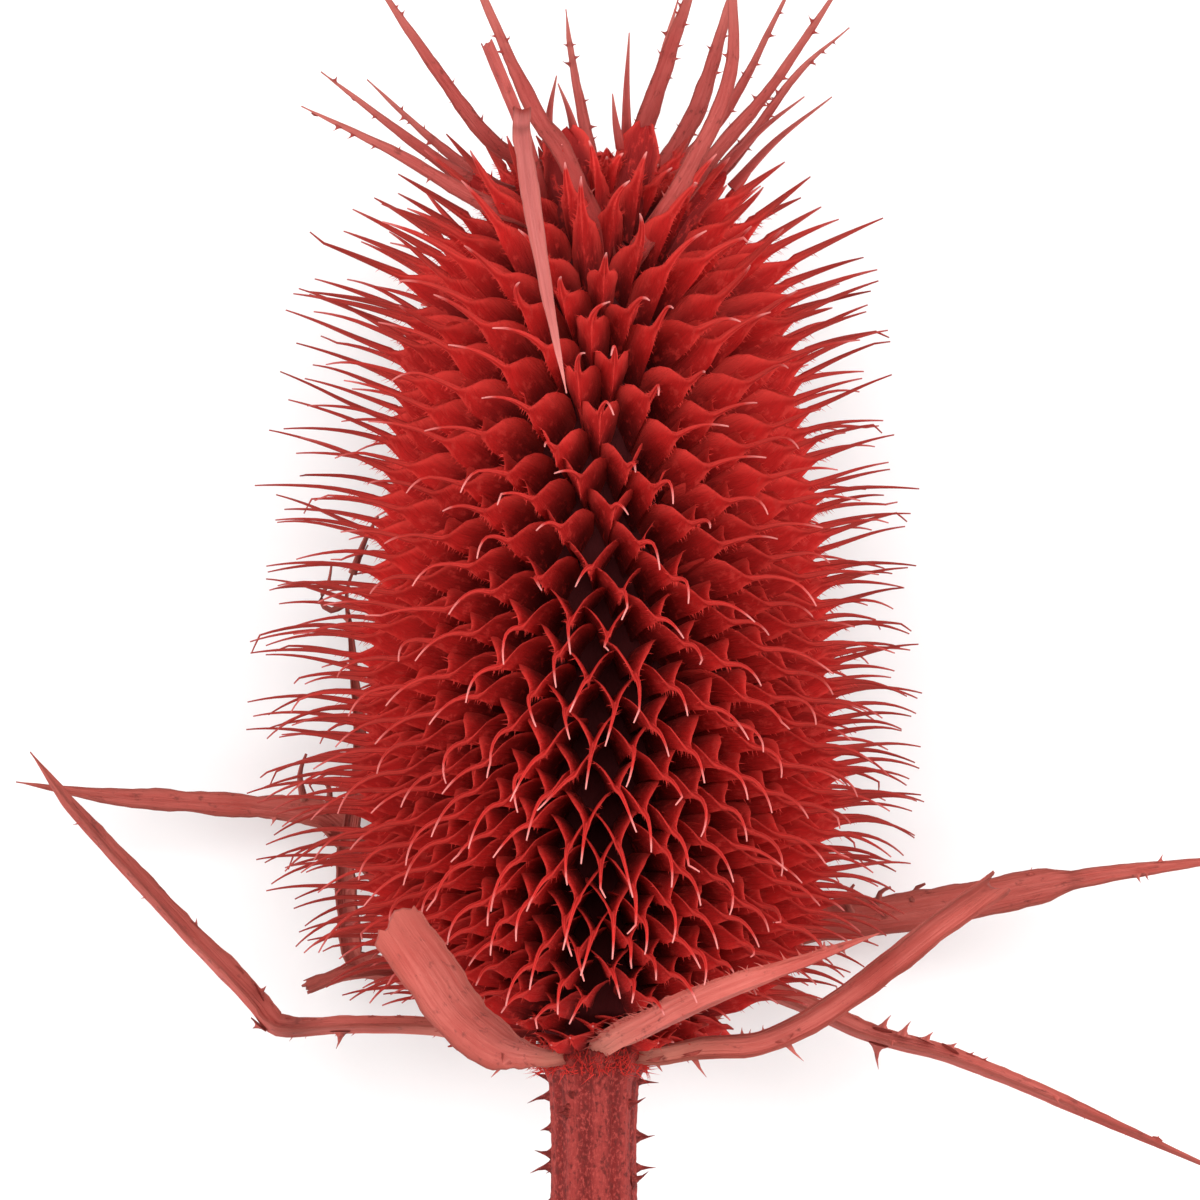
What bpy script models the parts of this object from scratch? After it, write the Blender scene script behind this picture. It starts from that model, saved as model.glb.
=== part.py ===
"""A dried teasel seed head on a short cut stem, lying on its side.

The head's axis runs along +Y, from the cut stem to the crown. +Z is up, away from the surface that
it lies on, and the origin is the middle of the bounding box's bottom. Lengths are in metres.

The object is a seed head, which is a receptacle covered all over with keeled spiny bracts, a ribbed
and prickly stem, and nine long involucral bracts that grow from the collar under the head.
"""

import math
import random
from typing import NamedTuple

import bmesh
import bpy
from mathutils import Vector

MM = 0.001

# The head's axis and the places along it
AXIS_X = -2.0 * MM
AXIS_Z = 22.0 * MM
BASE_Y = -27.0 * MM
STEM_END_Y = -57.75 * MM


class HeadRow(NamedTuple):
    """The scaly bracts at one height over the head's base. Lengths are in millimetres."""

    height: float
    core_radius: float
    tilt: float  # of the scale, in degrees towards the crown
    scale_length: float
    spine_length: float
    droop: float  # of the spine, in degrees down from the scale
    spacing: float  # between neighbours, as they stand on a living head


HEAD_ROWS = (
    HeadRow(2.6, 6.6, 6, 5.4, 4.6, 30, 2.6),
    HeadRow(5.2, 8.2, 0, 6.6, 5.6, 30, 2.6),
    HeadRow(10.0, 9.8, -8, 8.0, 6.4, 34, 2.6),
    HeadRow(18.0, 10.4, -8, 8.5, 6.9, 34, 2.7),
    HeadRow(28.0, 10.2, -3, 8.4, 7.2, 26, 3.1),
    HeadRow(38.0, 9.5, 3, 8.0, 7.4, 16, 3.5),
    HeadRow(48.0, 8.4, 14, 8.0, 7.8, 10, 3.7),
    HeadRow(55.0, 7.4, 26, 8.3, 8.6, 6, 3.7),
    HeadRow(60.0, 6.2, 40, 8.0, 10.5, 4, 3.7),
    HeadRow(64.0, 4.4, 56, 7.0, 9.5, 2, 3.6),
    HeadRow(66.2, 1.6, 76, 5.5, 5.5, 0, 3.4),
)
HEAD_TOP = 66.8
HEAD_FOOT = ((4.4, 0.9), (3.8, 0.0))
CORE_SIDES = 24

# Each bract stands the golden angle round from the last, and larger than life to cover the head
BRACT_COUNT = 240
GOLDEN_ANGLE = math.radians(137.508)
SCALE_HALF_WIDTH = 0.86
SCALE_SHOULDER = 0.68
ROOT_NARROWING = 0.8
ROOT_DEPTH = 1.6 * MM
SPINE_RADIUS = 0.32 * MM
SPINE_SECTION = (1.25 * SPINE_RADIUS, 0.9 * SPINE_RADIUS, SPINE_RADIUS, -0.9 * SPINE_RADIUS)
SPINE_CLEARANCE = 0.9 * MM
SHORTEST_SPINE = 0.12

# The head lies on the spines of its underside, which its weight bends flat on the surface
KNEE_HEIGHT = 0.18 * MM
PRESSED_LEAN = 0.3
SHORTEST_REST = 1.5 * MM


class Blade(NamedTuple):
    """A long bract. Its route runs from the root to the tip, and lengths are in millimetres."""

    half_width: float
    route: tuple
    facing: tuple = (0.0, 0.2, 1.0)  # the side that the channelled face looks to
    broken: bool = False


# The long bracts of the crown
CROWN = (
    Blade(0.75, ((-3.0, 36.0, 24.0), (-7.1, 38.6, 25.0), (-10.9, 41.2, 26.0), (-19.7, 53.6, 28.5))),
    Blade(0.9, ((-2.6, 36.8, 25.0), (-4.9, 39.8, 26.0), (-7.1, 43.1, 27.0), (-12.2, 54.4, 30.0))),
    Blade(0.95, ((-0.4, 36.8, 25.0), (1.7, 42.0, 26.0), (3.2, 46.5, 27.0), (6.1, 54.8, 29.0))),
    Blade(0.85, ((1.1, 36.0, 20.0), (4.1, 40.5, 18.0), (6.0, 44.6, 17.0), (9.2, 55.5, 15.0))),
    Blade(0.85, ((1.9, 35.2, 26.0), (5.6, 38.6, 28.0), (7.9, 45.8, 30.0), (7.4, 57.75, 32.0))),
    Blade(0.6, ((1.1, 36.0, 16.0), (5.6, 40.5, 13.0), (8.6, 44.6, 12.0), (13.1, 53.6, 10.5))),
    Blade(0.75, ((2.6, 34.9, 24.0), (7.1, 39.8, 25.0), (11.2, 44.6, 26.0), (16.9, 53.1, 27.0))),
    Blade(0.6, ((3.0, 34.1, 20.0), (8.6, 39.8, 18.0), (13.1, 45.8, 17.0), (17.0, 49.3, 16.0))),
    Blade(0.65, ((-4.1, 34.9, 22.0), (-9.4, 36.8, 24.0), (-13.1, 38.2, 25.0), (-22.7, 45.4, 26.0))),
    Blade(0.6, ((-4.9, 34.5, 18.0), (-10.1, 37.5, 16.0), (-14.6, 40.9, 14.0), (-19.6, 45.6, 12.0))),
    Blade(0.75, ((-4.5, 33.0, 26.0), (-10.9, 35.6, 30.0), (-16.9, 39.0, 32.0), (-23.9, 42.4, 34.0))),
    Blade(0.7, ((-1.9, 36.0, 14.0), (-3.0, 42.0, 9.0), (-4.1, 48.0, 5.0), (-4.5, 51.5, 3.2))),
    Blade(0.7, ((0.0, 36.0, 14.0), (1.9, 43.5, 8.0), (3.4, 49.5, 4.0), (4.2, 52.5, 2.6))),
)

# One crown bract has snapped: its stub stands up and its thin end hangs down over the head
SNAPPED_STUB = Blade(
    0.75,
    ((-3.4, 36.0, 27.0), (-6.0, 39.2, 31.5), (-8.0, 41.6, 34.6), (-10.3, 47.1, 35.2)),
    broken=True,
)
SNAPPED_END = Blade(
    0.62,
    ((-7.6, 42.2, 34.0), (-7.6, 40.0, 35.8), (-6.8, 34.5, 40.0), (-5.5, 27.0, 43.4), (-4.3, 21.0, 44.8)),
)
CROWN_STEP = 6.0 * MM

# The involucral bracts, from the collar outwards
INVOLUCRE = {
    "involucral_bract_1": Blade(
        1.0,
        (
            (-8.0, -28.2, 23.0),
            (-10.5, -27.2, 23.6),
            (-13.9, -25.9, 24.4),
            (-20.6, -25.7, 25.0),
            (-25.2, -26.0, 25.0),
            (-26.6, -25.4, 25.1),
            (-28.0, -23.6, 25.2),
            (-32.6, -18.8, 25.6),
            (-39.4, -11.3, 26.3),
            (-44.3, -5.3, 27.0),
        ),
        (0.1, 1.0, 0.35),
    ),
    "involucral_bract_2": Blade(
        1.7,
        (
            (-5.8, -28.6, 26.8),
            (-7.2, -28.6, 30.2),
            (-9.6, -27.6, 34.6),
            (-12.2, -24.4, 38.0),
            (-14.3, -20.4, 40.2),
            (-16.4, -17.6, 41.5),
        ),
        (0.2, -0.3, 1.0),
        broken=True,
    ),
    "involucral_bract_3": Blade(
        1.35,
        (
            (-4.3, -28.3, 16.5),
            (-7.4, -25.6, 10.4),
            (-13.1, -20.3, 4.4),
            (-18.4, -15.8, 3.4),
            (-21.2, -12.4, 4.2),
            (-22.4, -11.0, 5.0),
            (-24.4, -10.2, 5.6),
            (-31.9, -9.6, 7.0),
            (-39.4, -9.0, 8.0),
            (-46.5, -7.9, 9.0),
        ),
        (0.0, 0.3, 1.0),
    ),
    "involucral_bract_4": Blade(
        0.75,
        (
            (-6.8, -28.3, 18.3),
            (-9.4, -26.3, 13.4),
            (-14.6, -22.9, 6.6),
            (-19.0, -22.2, 6.2),
            (-20.6, -21.6, 6.4),
            (-21.1, -20.0, 6.8),
            (-21.4, -14.0, 7.6),
            (-20.3, -6.0, 7.8),
            (-20.9, 3.0, 8.2),
            (-21.2, 6.8, 8.8),
            (-19.6, 10.2, 9.0),
        ),
        (0.2, 0.0, 1.0),
    ),
    "involucral_bract_5": Blade(
        0.85,
        (
            (-8.0, -28.3, 20.4),
            (-11.2, -26.5, 15.8),
            (-15.2, -23.9, 11.2),
            (-17.8, -22.4, 11.6),
            (-21.0, -22.4, 13.0),
            (-24.5, -23.6, 14.0),
        ),
        (0.2, 0.7, 0.6),
        broken=True,
    ),
    "involucral_bract_6": Blade(
        1.25,
        (
            (-1.4, -28.4, 27.6),
            (0.6, -27.2, 31.4),
            (5.6, -24.0, 36.4),
            (12.4, -20.7, 38.2),
            (18.6, -18.4, 38.8),
        ),
        (-0.3, 0.5, -1.0),
    ),
    "involucral_bract_7": Blade(
        1.35,
        (
            (2.7, -28.4, 24.9),
            (5.6, -28.5, 26.4),
            (10.1, -27.4, 28.2),
            (15.4, -24.7, 30.2),
            (19.5, -20.7, 32.2),
            (23.6, -17.4, 34.0),
            (27.8, -14.3, 36.0),
        ),
        (0.1, -0.25, 1.0),
        broken=True,
    ),
    "involucral_bract_8": Blade(
        1.75,
        (
            (-1.0, -28.4, 16.4),
            (2.6, -25.4, 10.0),
            (8.4, -21.0, 4.6),
            (13.1, -19.1, 4.4),
            (19.1, -18.4, 6.4),
            (25.1, -17.3, 9.2),
            (35.6, -15.0, 13.4),
            (43.1, -13.9, 15.6),
            (46.5, -13.6, 16.6),
        ),
        (0.0, 0.25, 1.0),
    ),
    "involucral_bract_9": Blade(
        1.1,
        (
            (2.4, -28.4, 18.6),
            (4.9, -26.8, 14.4),
            (8.6, -23.6, 10.2),
            (12.6, -24.4, 10.6),
            (18.4, -26.9, 12.4),
            (25.1, -28.7, 13.4),
            (34.1, -32.3, 13.6),
            (46.5, -38.0, 13.0),
        ),
        (0.3, 1.0, 0.5),
    ),
}
BLADE_THICKNESS = 0.75 * MM
BLADE_STEP = 3.4 * MM
BLADE_RISE = 0.42
BLADE_THORN = 1.1 * MM
BLADE_THORN_WIDTH = 0.3 * MM

# The stem: distance from its cut end and radius over the ridges, in millimetres
STEM_X = -2.4 * MM
STEM_PROFILE = (
    (0.0, 3.3),
    (6.0, 3.4),
    (12.0, 3.3),
    (18.0, 3.35),
    (24.0, 3.3),
    (27.6, 3.4),
    (29.2, 4.1),
    (30.45, 4.2),
)
STEM_RIDGES = 9
GROOVE_DEPTH = 0.4 * MM
STEM_THORNS = 26
STEM_THORN_LENGTH = (0.9 * MM, 1.7 * MM)
STEM_THORN_WIDTH = 0.4 * MM
STEM_THORN_SINK = 0.1 * MM

HEAD_RED = (0.42, 0.022, 0.02, 1.0)
STEM_RED = (0.36, 0.045, 0.035, 1.0)
INVOLUCRE_ROSE = (0.48, 0.10, 0.08, 1.0)
DRY_ROUGHNESS = 0.65


def clear_scene():
    for obj in list(bpy.data.objects):
        bpy.data.objects.remove(obj, do_unlink=True)


def new_collection(name):
    collection = bpy.data.collections.new(name)
    bpy.context.scene.collection.children.link(collection)
    return collection


def dried_plant(name, colour):
    """A matt dyed plant material."""
    material = bpy.data.materials.new(name)
    material.use_nodes = True
    shader = material.node_tree.nodes["Principled BSDF"]
    shader.inputs["Base Color"].default_value = colour
    shader.inputs["Roughness"].default_value = DRY_ROUGHNESS
    shader.inputs["Metallic"].default_value = 0.0
    return material


def row_at(height):
    """The scaly bracts at a height over the base, in between the given rows."""
    height = max(height, HEAD_ROWS[0].height)
    for low, high in zip(HEAD_ROWS, HEAD_ROWS[1:]):
        if height <= high.height:
            share = (height - low.height) / (high.height - low.height)
            return HeadRow(*(a + share * (b - a) for a, b in zip(low, high)))
    return HEAD_ROWS[-1]


def smooth_route(points, step):
    """Points about one step apart on a Catmull-Rom curve through the given ones, in metres."""
    knots = [Vector(point) * MM for point in points]
    knots = [2 * knots[0] - knots[1], *knots, 2 * knots[-1] - knots[-2]]
    route = [knots[1]]
    for before, start, end, after in zip(knots, knots[1:], knots[2:], knots[3:]):
        pieces = max(1, round((end - start).length / step))
        bend = 2 * before - 5 * start + 4 * end - after
        twist = 3 * start - before - 3 * end + after
        for piece in range(1, pieces + 1):
            t = piece / pieces
            route.append(start + 0.5 * ((end - before) * t + bend * t**2 + twist * t**3))
    return route


def loft(name, rings, tip=None):
    """A closed mesh object skinned over like rings, ended in a point where a tip is given."""
    mesh = bpy.data.meshes.new(name)
    shape = bmesh.new()
    loops = [[shape.verts.new(point) for point in ring] for ring in rings]
    count = len(loops[0])
    for lower, upper in zip(loops, loops[1:]):
        for i in range(count):
            j = (i + 1) % count
            shape.faces.new((lower[i], lower[j], upper[j]))
            shape.faces.new((lower[i], upper[j], upper[i]))
    shape.faces.new(loops[0])
    if tip is None:
        shape.faces.new(loops[-1])
    else:
        apex = shape.verts.new(tip)
        for i in range(count):
            shape.faces.new((loops[-1][i], loops[-1][(i + 1) % count], apex))
    bmesh.ops.recalc_face_normals(shape, faces=shape.faces)
    shape.to_mesh(mesh)
    shape.free()
    return bpy.data.objects.new(name, mesh)


def apply_modifiers(obj):
    """Gives an object the mesh that its modifiers make of it."""
    bpy.context.view_layer.update()
    graph = bpy.context.evaluated_depsgraph_get()
    made = bpy.data.meshes.new_from_object(obj.evaluated_get(graph))
    obj.modifiers.clear()
    obj.data = made


def body_from(start, seen):
    """All the faces that hang together with one face."""
    seen.add(start)
    body, queue = [], [start]
    while queue:
        face = queue.pop()
        body.append(face)
        for edge in face.edges:
            for other in edge.link_faces:
                if other not in seen:
                    seen.add(other)
                    queue.append(other)
    return body


def keep_largest_body(obj):
    """Drops the loose scraps and fills the sealed hollows that a union leaves."""
    shape = bmesh.new()
    shape.from_mesh(obj.data)
    seen = set()
    bodies = [body_from(face, seen) for face in shape.faces if face not in seen]
    bodies.sort(key=len)
    spare = [face for body in bodies[:-1] for face in body]
    bmesh.ops.delete(shape, geom=spare, context="FACES")
    shape.to_mesh(obj.data)
    shape.free()


def fuse(body, pieces, solver="EXACT"):
    """Joins the pieces to the body in one solid with one union, and removes them."""
    helpers = new_collection("pieces of " + body.name)
    for piece in pieces:
        helpers.objects.link(piece)
    union = body.modifiers.new("union", "BOOLEAN")
    union.operand_type = "COLLECTION"
    union.collection = helpers
    union.solver = solver
    union.operation = "UNION"
    apply_modifiers(body)
    keep_largest_body(body)
    for piece in pieces:
        bpy.data.objects.remove(piece, do_unlink=True)
    bpy.data.collections.remove(helpers)


def chevron(centre, side, normal, half_width, rise, keel, trough):
    """A boat-like section: two raised wings, a keel under them and the trough between them."""
    return [
        centre - side * half_width + normal * rise,
        centre - normal * keel,
        centre + side * half_width + normal * rise,
        centre - normal * trough,
    ]


def thorn(root, outward, along, length, width):
    """A four-sided thorn that leans along what it grows from, with its foot sunk in it."""
    outward, along = outward.normalized(), along.normalized()
    across = outward.cross(along).normalized() * 0.7
    foot = root - outward * width
    ring = [foot + step * width for step in (along, across, -along, -across)]
    return loft("thorn", [ring], root + outward * length + along * width * 0.4)


def blade_frames(route, facing):
    """The centre, tangent, side and normal of a blade at each point of its route."""
    frames = []
    for i, point in enumerate(route):
        tangent = (route[min(i + 1, len(route) - 1)] - route[max(i - 1, 0)]).normalized()
        normal = (facing - tangent * facing.dot(tangent)).normalized()
        frames.append((point, tangent, tangent.cross(normal), normal))
    return frames


def blade_share(u, broken):
    """A blade's half width at the share u of its length, as a share of its largest."""
    opening = 0.8 + 0.2 * min(1.0, u / 0.25)
    if broken or u < 0.45:
        return opening
    return opening * ((1.0 - u) / 0.55) ** 0.75


def blade_section(frame, half_width):
    """A channelled section that thins where the blade gets narrow."""
    centre, _, side, normal = frame
    thick = min(BLADE_THICKNESS, half_width)
    return chevron(centre, side, normal, half_width, BLADE_RISE * half_width, 0.6 * thick, -0.4 * thick)


def involucral_bract(name, blade, rng):
    """One long channelled bract with thorns in turn along its keel and its two edges."""
    route = smooth_route(blade.route, BLADE_STEP)
    frames = blade_frames(route, Vector(blade.facing))
    last = len(route) - 1
    halves = [blade.half_width * MM * blade_share(i / last, blade.broken) for i in range(last + 1)]
    rings = [blade_section(frame, half) for frame, half in zip(frames, halves)]
    body = loft(name, rings) if blade.broken else loft(name, rings[:-1], route[-1])
    thorns = []
    for i in range(2, last - 1):
        centre, tangent, side, normal = frames[i]
        length = BLADE_THORN * rng.uniform(0.7, 1.3)
        sign = (0, 1, -1)[i % 3]
        if sign == 0:
            thorns.append(thorn(centre, -normal, tangent, 1.4 * length, BLADE_THORN_WIDTH))
        else:
            edge = centre + side * sign * 0.85 * halves[i] + normal * 0.3 * halves[i]
            thorns.append(thorn(edge, side * sign + normal * 0.3, tangent, length, BLADE_THORN_WIDTH))
    bpy.context.scene.collection.objects.link(body)
    fuse(body, thorns)
    return body


def core():
    """The turned receptacle, from its blunt top down to its flat foot."""
    profile = [(0.0, HEAD_TOP)]
    profile += [(row.core_radius, row.height) for row in reversed(HEAD_ROWS)]
    profile += [*HEAD_FOOT, (0.0, 0.0)]
    mesh = bpy.data.meshes.new("seed_head")
    mesh.from_pydata(
        [(radius * MM, 0.0, height * MM) for radius, height in profile],
        [(i, i + 1) for i in range(len(profile) - 1)],
        [],
    )
    body = bpy.data.objects.new("seed_head", mesh)
    body.location = (AXIS_X, BASE_Y, AXIS_Z)
    body.rotation_euler = (-math.pi / 2, 0.0, 0.0)
    turn = body.modifiers.new("turn", "SCREW")
    turn.axis = "Z"
    turn.steps = turn.render_steps = CORE_SIDES
    turn.use_merge_vertices = True
    turn.merge_threshold = 0.00001
    turn.use_smooth_shade = False
    return body


def bract_heights(count):
    """Heights over the base that spread the bracts at the spacings that the rows ask for."""
    low, high, steps = HEAD_ROWS[0].height, HEAD_ROWS[-1].height, 600
    heights = [low + (high - low) * i / steps for i in range(steps + 1)]
    sums = [0.0]
    for below, above in zip(heights, heights[1:]):
        row = row_at((below + above) / 2)
        shoulder = row.core_radius + row.scale_length * math.cos(math.radians(row.tilt))
        sums.append(sums[-1] + shoulder * (above - below) / row.spacing**2)
    found, step = [], 0
    for i in range(count):
        wanted = sums[-1] * (i + 0.5) / count
        while sums[step + 1] < wanted:
            step += 1
        share = (wanted - sums[step]) / (sums[step + 1] - sums[step])
        found.append(heights[step] + share * (heights[step + 1] - heights[step]))
    return found


def free_share(start, end, obstacles):
    """The share of the way from start to end that stays clear of the obstacles."""
    samples = 12
    for k in range(samples + 1):
        point = start.lerp(end, k / samples)
        if any((point - centre).length < reach for centre, reach in obstacles):
            return max(SHORTEST_SPINE, (k - 1.5) / samples)
    return 1.0


def pressed_spine(neck, spine, length):
    """The ring and the tip of a spine that the surface under the head bends flat."""
    knee = neck + spine * (neck.z - KNEE_HEIGHT) / -spine.z
    way = math.copysign(1.0, spine.y)
    flat = Vector((spine.x, spine.y + way * PRESSED_LEAN, 0.0)).normalized()
    normal = Vector((0.0, 0.0, way))
    ring = chevron(knee, flat.cross(normal), normal, *SPINE_SECTION)
    return ring, knee + flat * max(length - (knee - neck).length, SHORTEST_REST)


def head_bract(height, turn, obstacles):
    """One keeled scale with its spine, rooted in the receptacle at a height and an angle round it."""
    row = row_at(height)
    tilt = math.radians(row.tilt)
    fall = tilt - math.radians(row.droop)
    outward = Vector((math.cos(turn), 0.0, math.sin(turn)))
    upward = Vector((0.0, 1.0, 0.0))
    side = outward.cross(upward)
    along = outward * math.cos(tilt) + upward * math.sin(tilt)
    normal = upward * math.cos(tilt) - outward * math.sin(tilt)
    root = Vector((AXIS_X, BASE_Y + height * MM, AXIS_Z)) + outward * row.core_radius * MM
    neck = root + along * row.scale_length * MM
    wide = root.lerp(neck, SCALE_SHOULDER)
    spine = outward * math.cos(fall) + upward * math.sin(fall)
    tip = neck + spine * row.spine_length * MM
    half = SCALE_HALF_WIDTH * row.spacing * MM
    foot = half * ROOT_NARROWING * (row.core_radius + 1.0) / (row.core_radius + row.scale_length)
    rings = [
        chevron(root - along * ROOT_DEPTH, side, normal, foot, half * 0.3, half * 0.35, half * 0.02),
        chevron(wide, side, normal, half, half * 0.62, half * 0.5, half * 0.04),
        chevron(neck, side, normal, *SPINE_SECTION),
    ]
    free = free_share(neck, tip, obstacles)
    if tip.z < 0.0 and free == 1.0:
        ring, tip = pressed_spine(neck, spine, row.spine_length * MM)
        rings.append(ring)
    return loft("bract", rings, neck.lerp(tip, free))


def crown_bract(blade):
    """A long bract of the crown, which tapers to its tip unless it has snapped off square."""
    route = smooth_route(blade.route, CROWN_STEP)
    last = len(route) - 1
    rings = []
    for i, (centre, _, side, normal) in enumerate(blade_frames(route, Vector(blade.facing))):
        half = blade.half_width * MM * (1.0 if blade.broken else 1.25 - 0.75 * i / last)
        rings.append(chevron(centre, side, normal, half, half * 0.25, half * 0.7, -half * 0.45))
    return loft("crown bract", rings) if blade.broken else loft("crown bract", rings[:-1], route[-1])


def spine_obstacles():
    """Balls along the involucral bracts and the hanging end, which the spines stay clear of."""
    found = []
    for blade in INVOLUCRE.values():
        route = smooth_route(blade.route, SPINE_CLEARANCE)
        last = len(route) - 1
        for i, centre in enumerate(route):
            half = blade.half_width * MM * blade_share(i / last, blade.broken)
            found.append((centre, half + SPINE_CLEARANCE))
    hanging = smooth_route(SNAPPED_END.route, SPINE_CLEARANCE)
    return found + [(centre, SNAPPED_END.half_width * MM) for centre in hanging]


def level_underside(head):
    """Cuts the pressed spines level with the surface that the head lies on."""
    cutters = new_collection("cutters")
    bpy.ops.mesh.primitive_cube_add(size=0.2, location=(0.0, 0.0, -0.1))
    surface = bpy.context.object
    surface.name = "surface under the head"
    surface.hide_render = True
    surface.display_type = "WIRE"
    for collection in list(surface.users_collection):
        collection.objects.unlink(surface)
    cutters.objects.link(surface)
    cut = head.modifiers.new("level", "BOOLEAN")
    cut.object = surface
    cut.solver = "MANIFOLD"
    cut.operation = "DIFFERENCE"
    apply_modifiers(head)
    bpy.data.objects.remove(surface, do_unlink=True)


def seed_head():
    """The receptacle with its scaly bracts and its crown, level where it lies on the surface."""
    head = core()
    bpy.context.scene.collection.objects.link(head)
    obstacles = spine_obstacles()
    heights = bract_heights(BRACT_COUNT)
    pieces = [head_bract(height, i * GOLDEN_ANGLE, obstacles) for i, height in enumerate(heights)]
    pieces += [crown_bract(blade) for blade in (*CROWN, SNAPPED_STUB, SNAPPED_END)]
    fuse(head, pieces, solver="MANIFOLD")
    level_underside(head)
    return head


def stem(rng):
    """The ribbed stem, which flares to a collar under the head and carries thorns on its ridges."""
    rings = []
    for distance, radius in STEM_PROFILE:
        centre = Vector((STEM_X, STEM_END_Y + distance * MM, AXIS_Z))
        ring = []
        for i in range(2 * STEM_RIDGES):
            angle = math.pi * i / STEM_RIDGES
            reach = radius * MM - (GROOVE_DEPTH if i % 2 else 0.0)
            ring.append(centre + Vector((math.cos(angle), 0.0, math.sin(angle))) * reach)
        rings.append(ring)
    body = loft("stem", rings)
    bpy.context.scene.collection.objects.link(body)
    straight, radius = (value * MM for value in STEM_PROFILE[-3])
    thorns = []
    for i in range(STEM_THORNS):
        ridge = round(i * GOLDEN_ANGLE / (2 * math.pi) * STEM_RIDGES)
        angle = 2 * math.pi * ridge / STEM_RIDGES
        outward = Vector((math.cos(angle), 0.0, math.sin(angle)))
        along = STEM_END_Y + straight * (i + 0.8) / (STEM_THORNS + 0.6)
        root = Vector((STEM_X, along, AXIS_Z)) + outward * (radius - STEM_THORN_SINK)
        length = rng.uniform(*STEM_THORN_LENGTH)
        thorns.append(thorn(root, outward, Vector((0.0, 1.0, 0.0)), length, STEM_THORN_WIDTH))
    fuse(body, thorns)
    return body


def add_part(part, obj, material):
    """Puts a finished piece in the part's collection with its material."""
    for collection in list(obj.users_collection):
        collection.objects.unlink(obj)
    part.objects.link(obj)
    obj.data.materials.clear()
    obj.data.materials.append(material)


def main():
    clear_scene()
    rng = random.Random(7)
    part = new_collection("teasel seed head")
    add_part(part, seed_head(), dried_plant("head red", HEAD_RED))
    add_part(part, stem(rng), dried_plant("stem red", STEM_RED))
    rose = dried_plant("involucre rose", INVOLUCRE_ROSE)
    for name, blade in INVOLUCRE.items():
        add_part(part, involucral_bract(name, blade, rng), rose)


main()
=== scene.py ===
# %% [markdown]
# # A dried teasel seed head, dyed red
#
# This lesson dresses a plain CAD model of a teasel head in Blender. The head is built again in mesh
# code with all of its scaly bracts, each a thin keeled scale that runs out into a spine. Then come the
# long bracts of the crown, the long involucral bracts under the head and the ridged stem.
#
# The first step loads the CAD model as a fixed frame. Every new piece rides on it and stands for one
# of its solids, so the pieces use the same places and sizes as the solids do.

import math
import random

import bpy
import numpy as np
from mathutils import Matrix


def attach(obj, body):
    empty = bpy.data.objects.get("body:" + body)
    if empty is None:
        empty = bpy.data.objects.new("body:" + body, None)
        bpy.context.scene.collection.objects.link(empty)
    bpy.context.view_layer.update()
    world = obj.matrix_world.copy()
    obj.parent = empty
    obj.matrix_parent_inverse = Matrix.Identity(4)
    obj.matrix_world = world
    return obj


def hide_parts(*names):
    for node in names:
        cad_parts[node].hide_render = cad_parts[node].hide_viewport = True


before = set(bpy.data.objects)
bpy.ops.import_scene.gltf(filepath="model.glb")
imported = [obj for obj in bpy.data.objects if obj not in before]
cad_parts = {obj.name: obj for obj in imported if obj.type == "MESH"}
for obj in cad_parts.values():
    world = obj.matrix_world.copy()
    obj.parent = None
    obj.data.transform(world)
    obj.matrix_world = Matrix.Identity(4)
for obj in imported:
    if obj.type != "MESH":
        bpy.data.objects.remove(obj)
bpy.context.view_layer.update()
MM = 0.001


# %% [markdown]
# ## The camera
#
# The photograph looks straight down on the head as it lies on its side, from far enough away for
# hardly any perspective. A long lens high above the floor gives the same picture. The picture is as
# wide as 90 mm at the head's axis.

# %% The camera
VIEW_CENTRE = (-1.875 * MM, 6.0 * MM)
VIEW_WIDTH = 90.0 * MM
VIEW_DISTANCE = 0.7
AXIS_X = -2.0 * MM
AXIS_Z = 22.0 * MM
SENSOR = 36.0

lens = bpy.data.cameras.new("camera above")
lens.sensor_width = SENSOR
lens.lens = SENSOR * VIEW_DISTANCE / VIEW_WIDTH
lens.clip_start = 0.05
camera = bpy.data.objects.new("camera above", lens)
camera.location = (*VIEW_CENTRE, AXIS_Z + VIEW_DISTANCE)
bpy.context.scene.collection.objects.link(camera)
bpy.context.scene.camera = camera
bpy.context.scene.view_settings.view_transform = "Standard"
print("lens of", round(lens.lens), "mm")

# %% [markdown]
# ## The light
#
# Two large soft boxes to the left and the right light the sides of the head, and leave the deep cells
# that face the camera dark. A weaker one hangs over the head and the world is a pale grey, so that
# no shadow is black.


# %% The soft boxes
def soft_box(name, place, size, watts):
    """A large soft rectangular light that faces the head."""
    light = bpy.data.lights.new(name, "AREA")
    light.shape = "RECTANGLE"
    light.size, light.size_y = size
    light.energy = watts
    box = bpy.data.objects.new(name, light)
    box.location = place
    aim = -box.location.normalized()
    box.rotation_euler = aim.to_track_quat("-Z", "Y").to_euler()
    bpy.context.scene.collection.objects.link(box)
    return box


SIDE_BOX = (0.40, 0.55)
WORLD_COLOUR = (1.0, 0.99, 0.98, 1.0)
WORLD_STRENGTH = 0.52
soft_box("left soft box", (-0.46, -0.05, 0.36), SIDE_BOX, 2.6)
soft_box("right soft box", (0.50, 0.03, 0.36), SIDE_BOX, 2.95)
soft_box("soft box overhead", (0.02, 0.22, 0.75), (0.50, 0.40), 3.1)

world = bpy.data.worlds.new("pale room")
world.use_nodes = True
background = world.node_tree.nodes["Background"]
background.inputs["Color"].default_value = WORLD_COLOUR
background.inputs["Strength"].default_value = WORLD_STRENGTH
bpy.context.scene.world = world
print("placed", len(bpy.data.lights), "soft boxes in a pale room")

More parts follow.
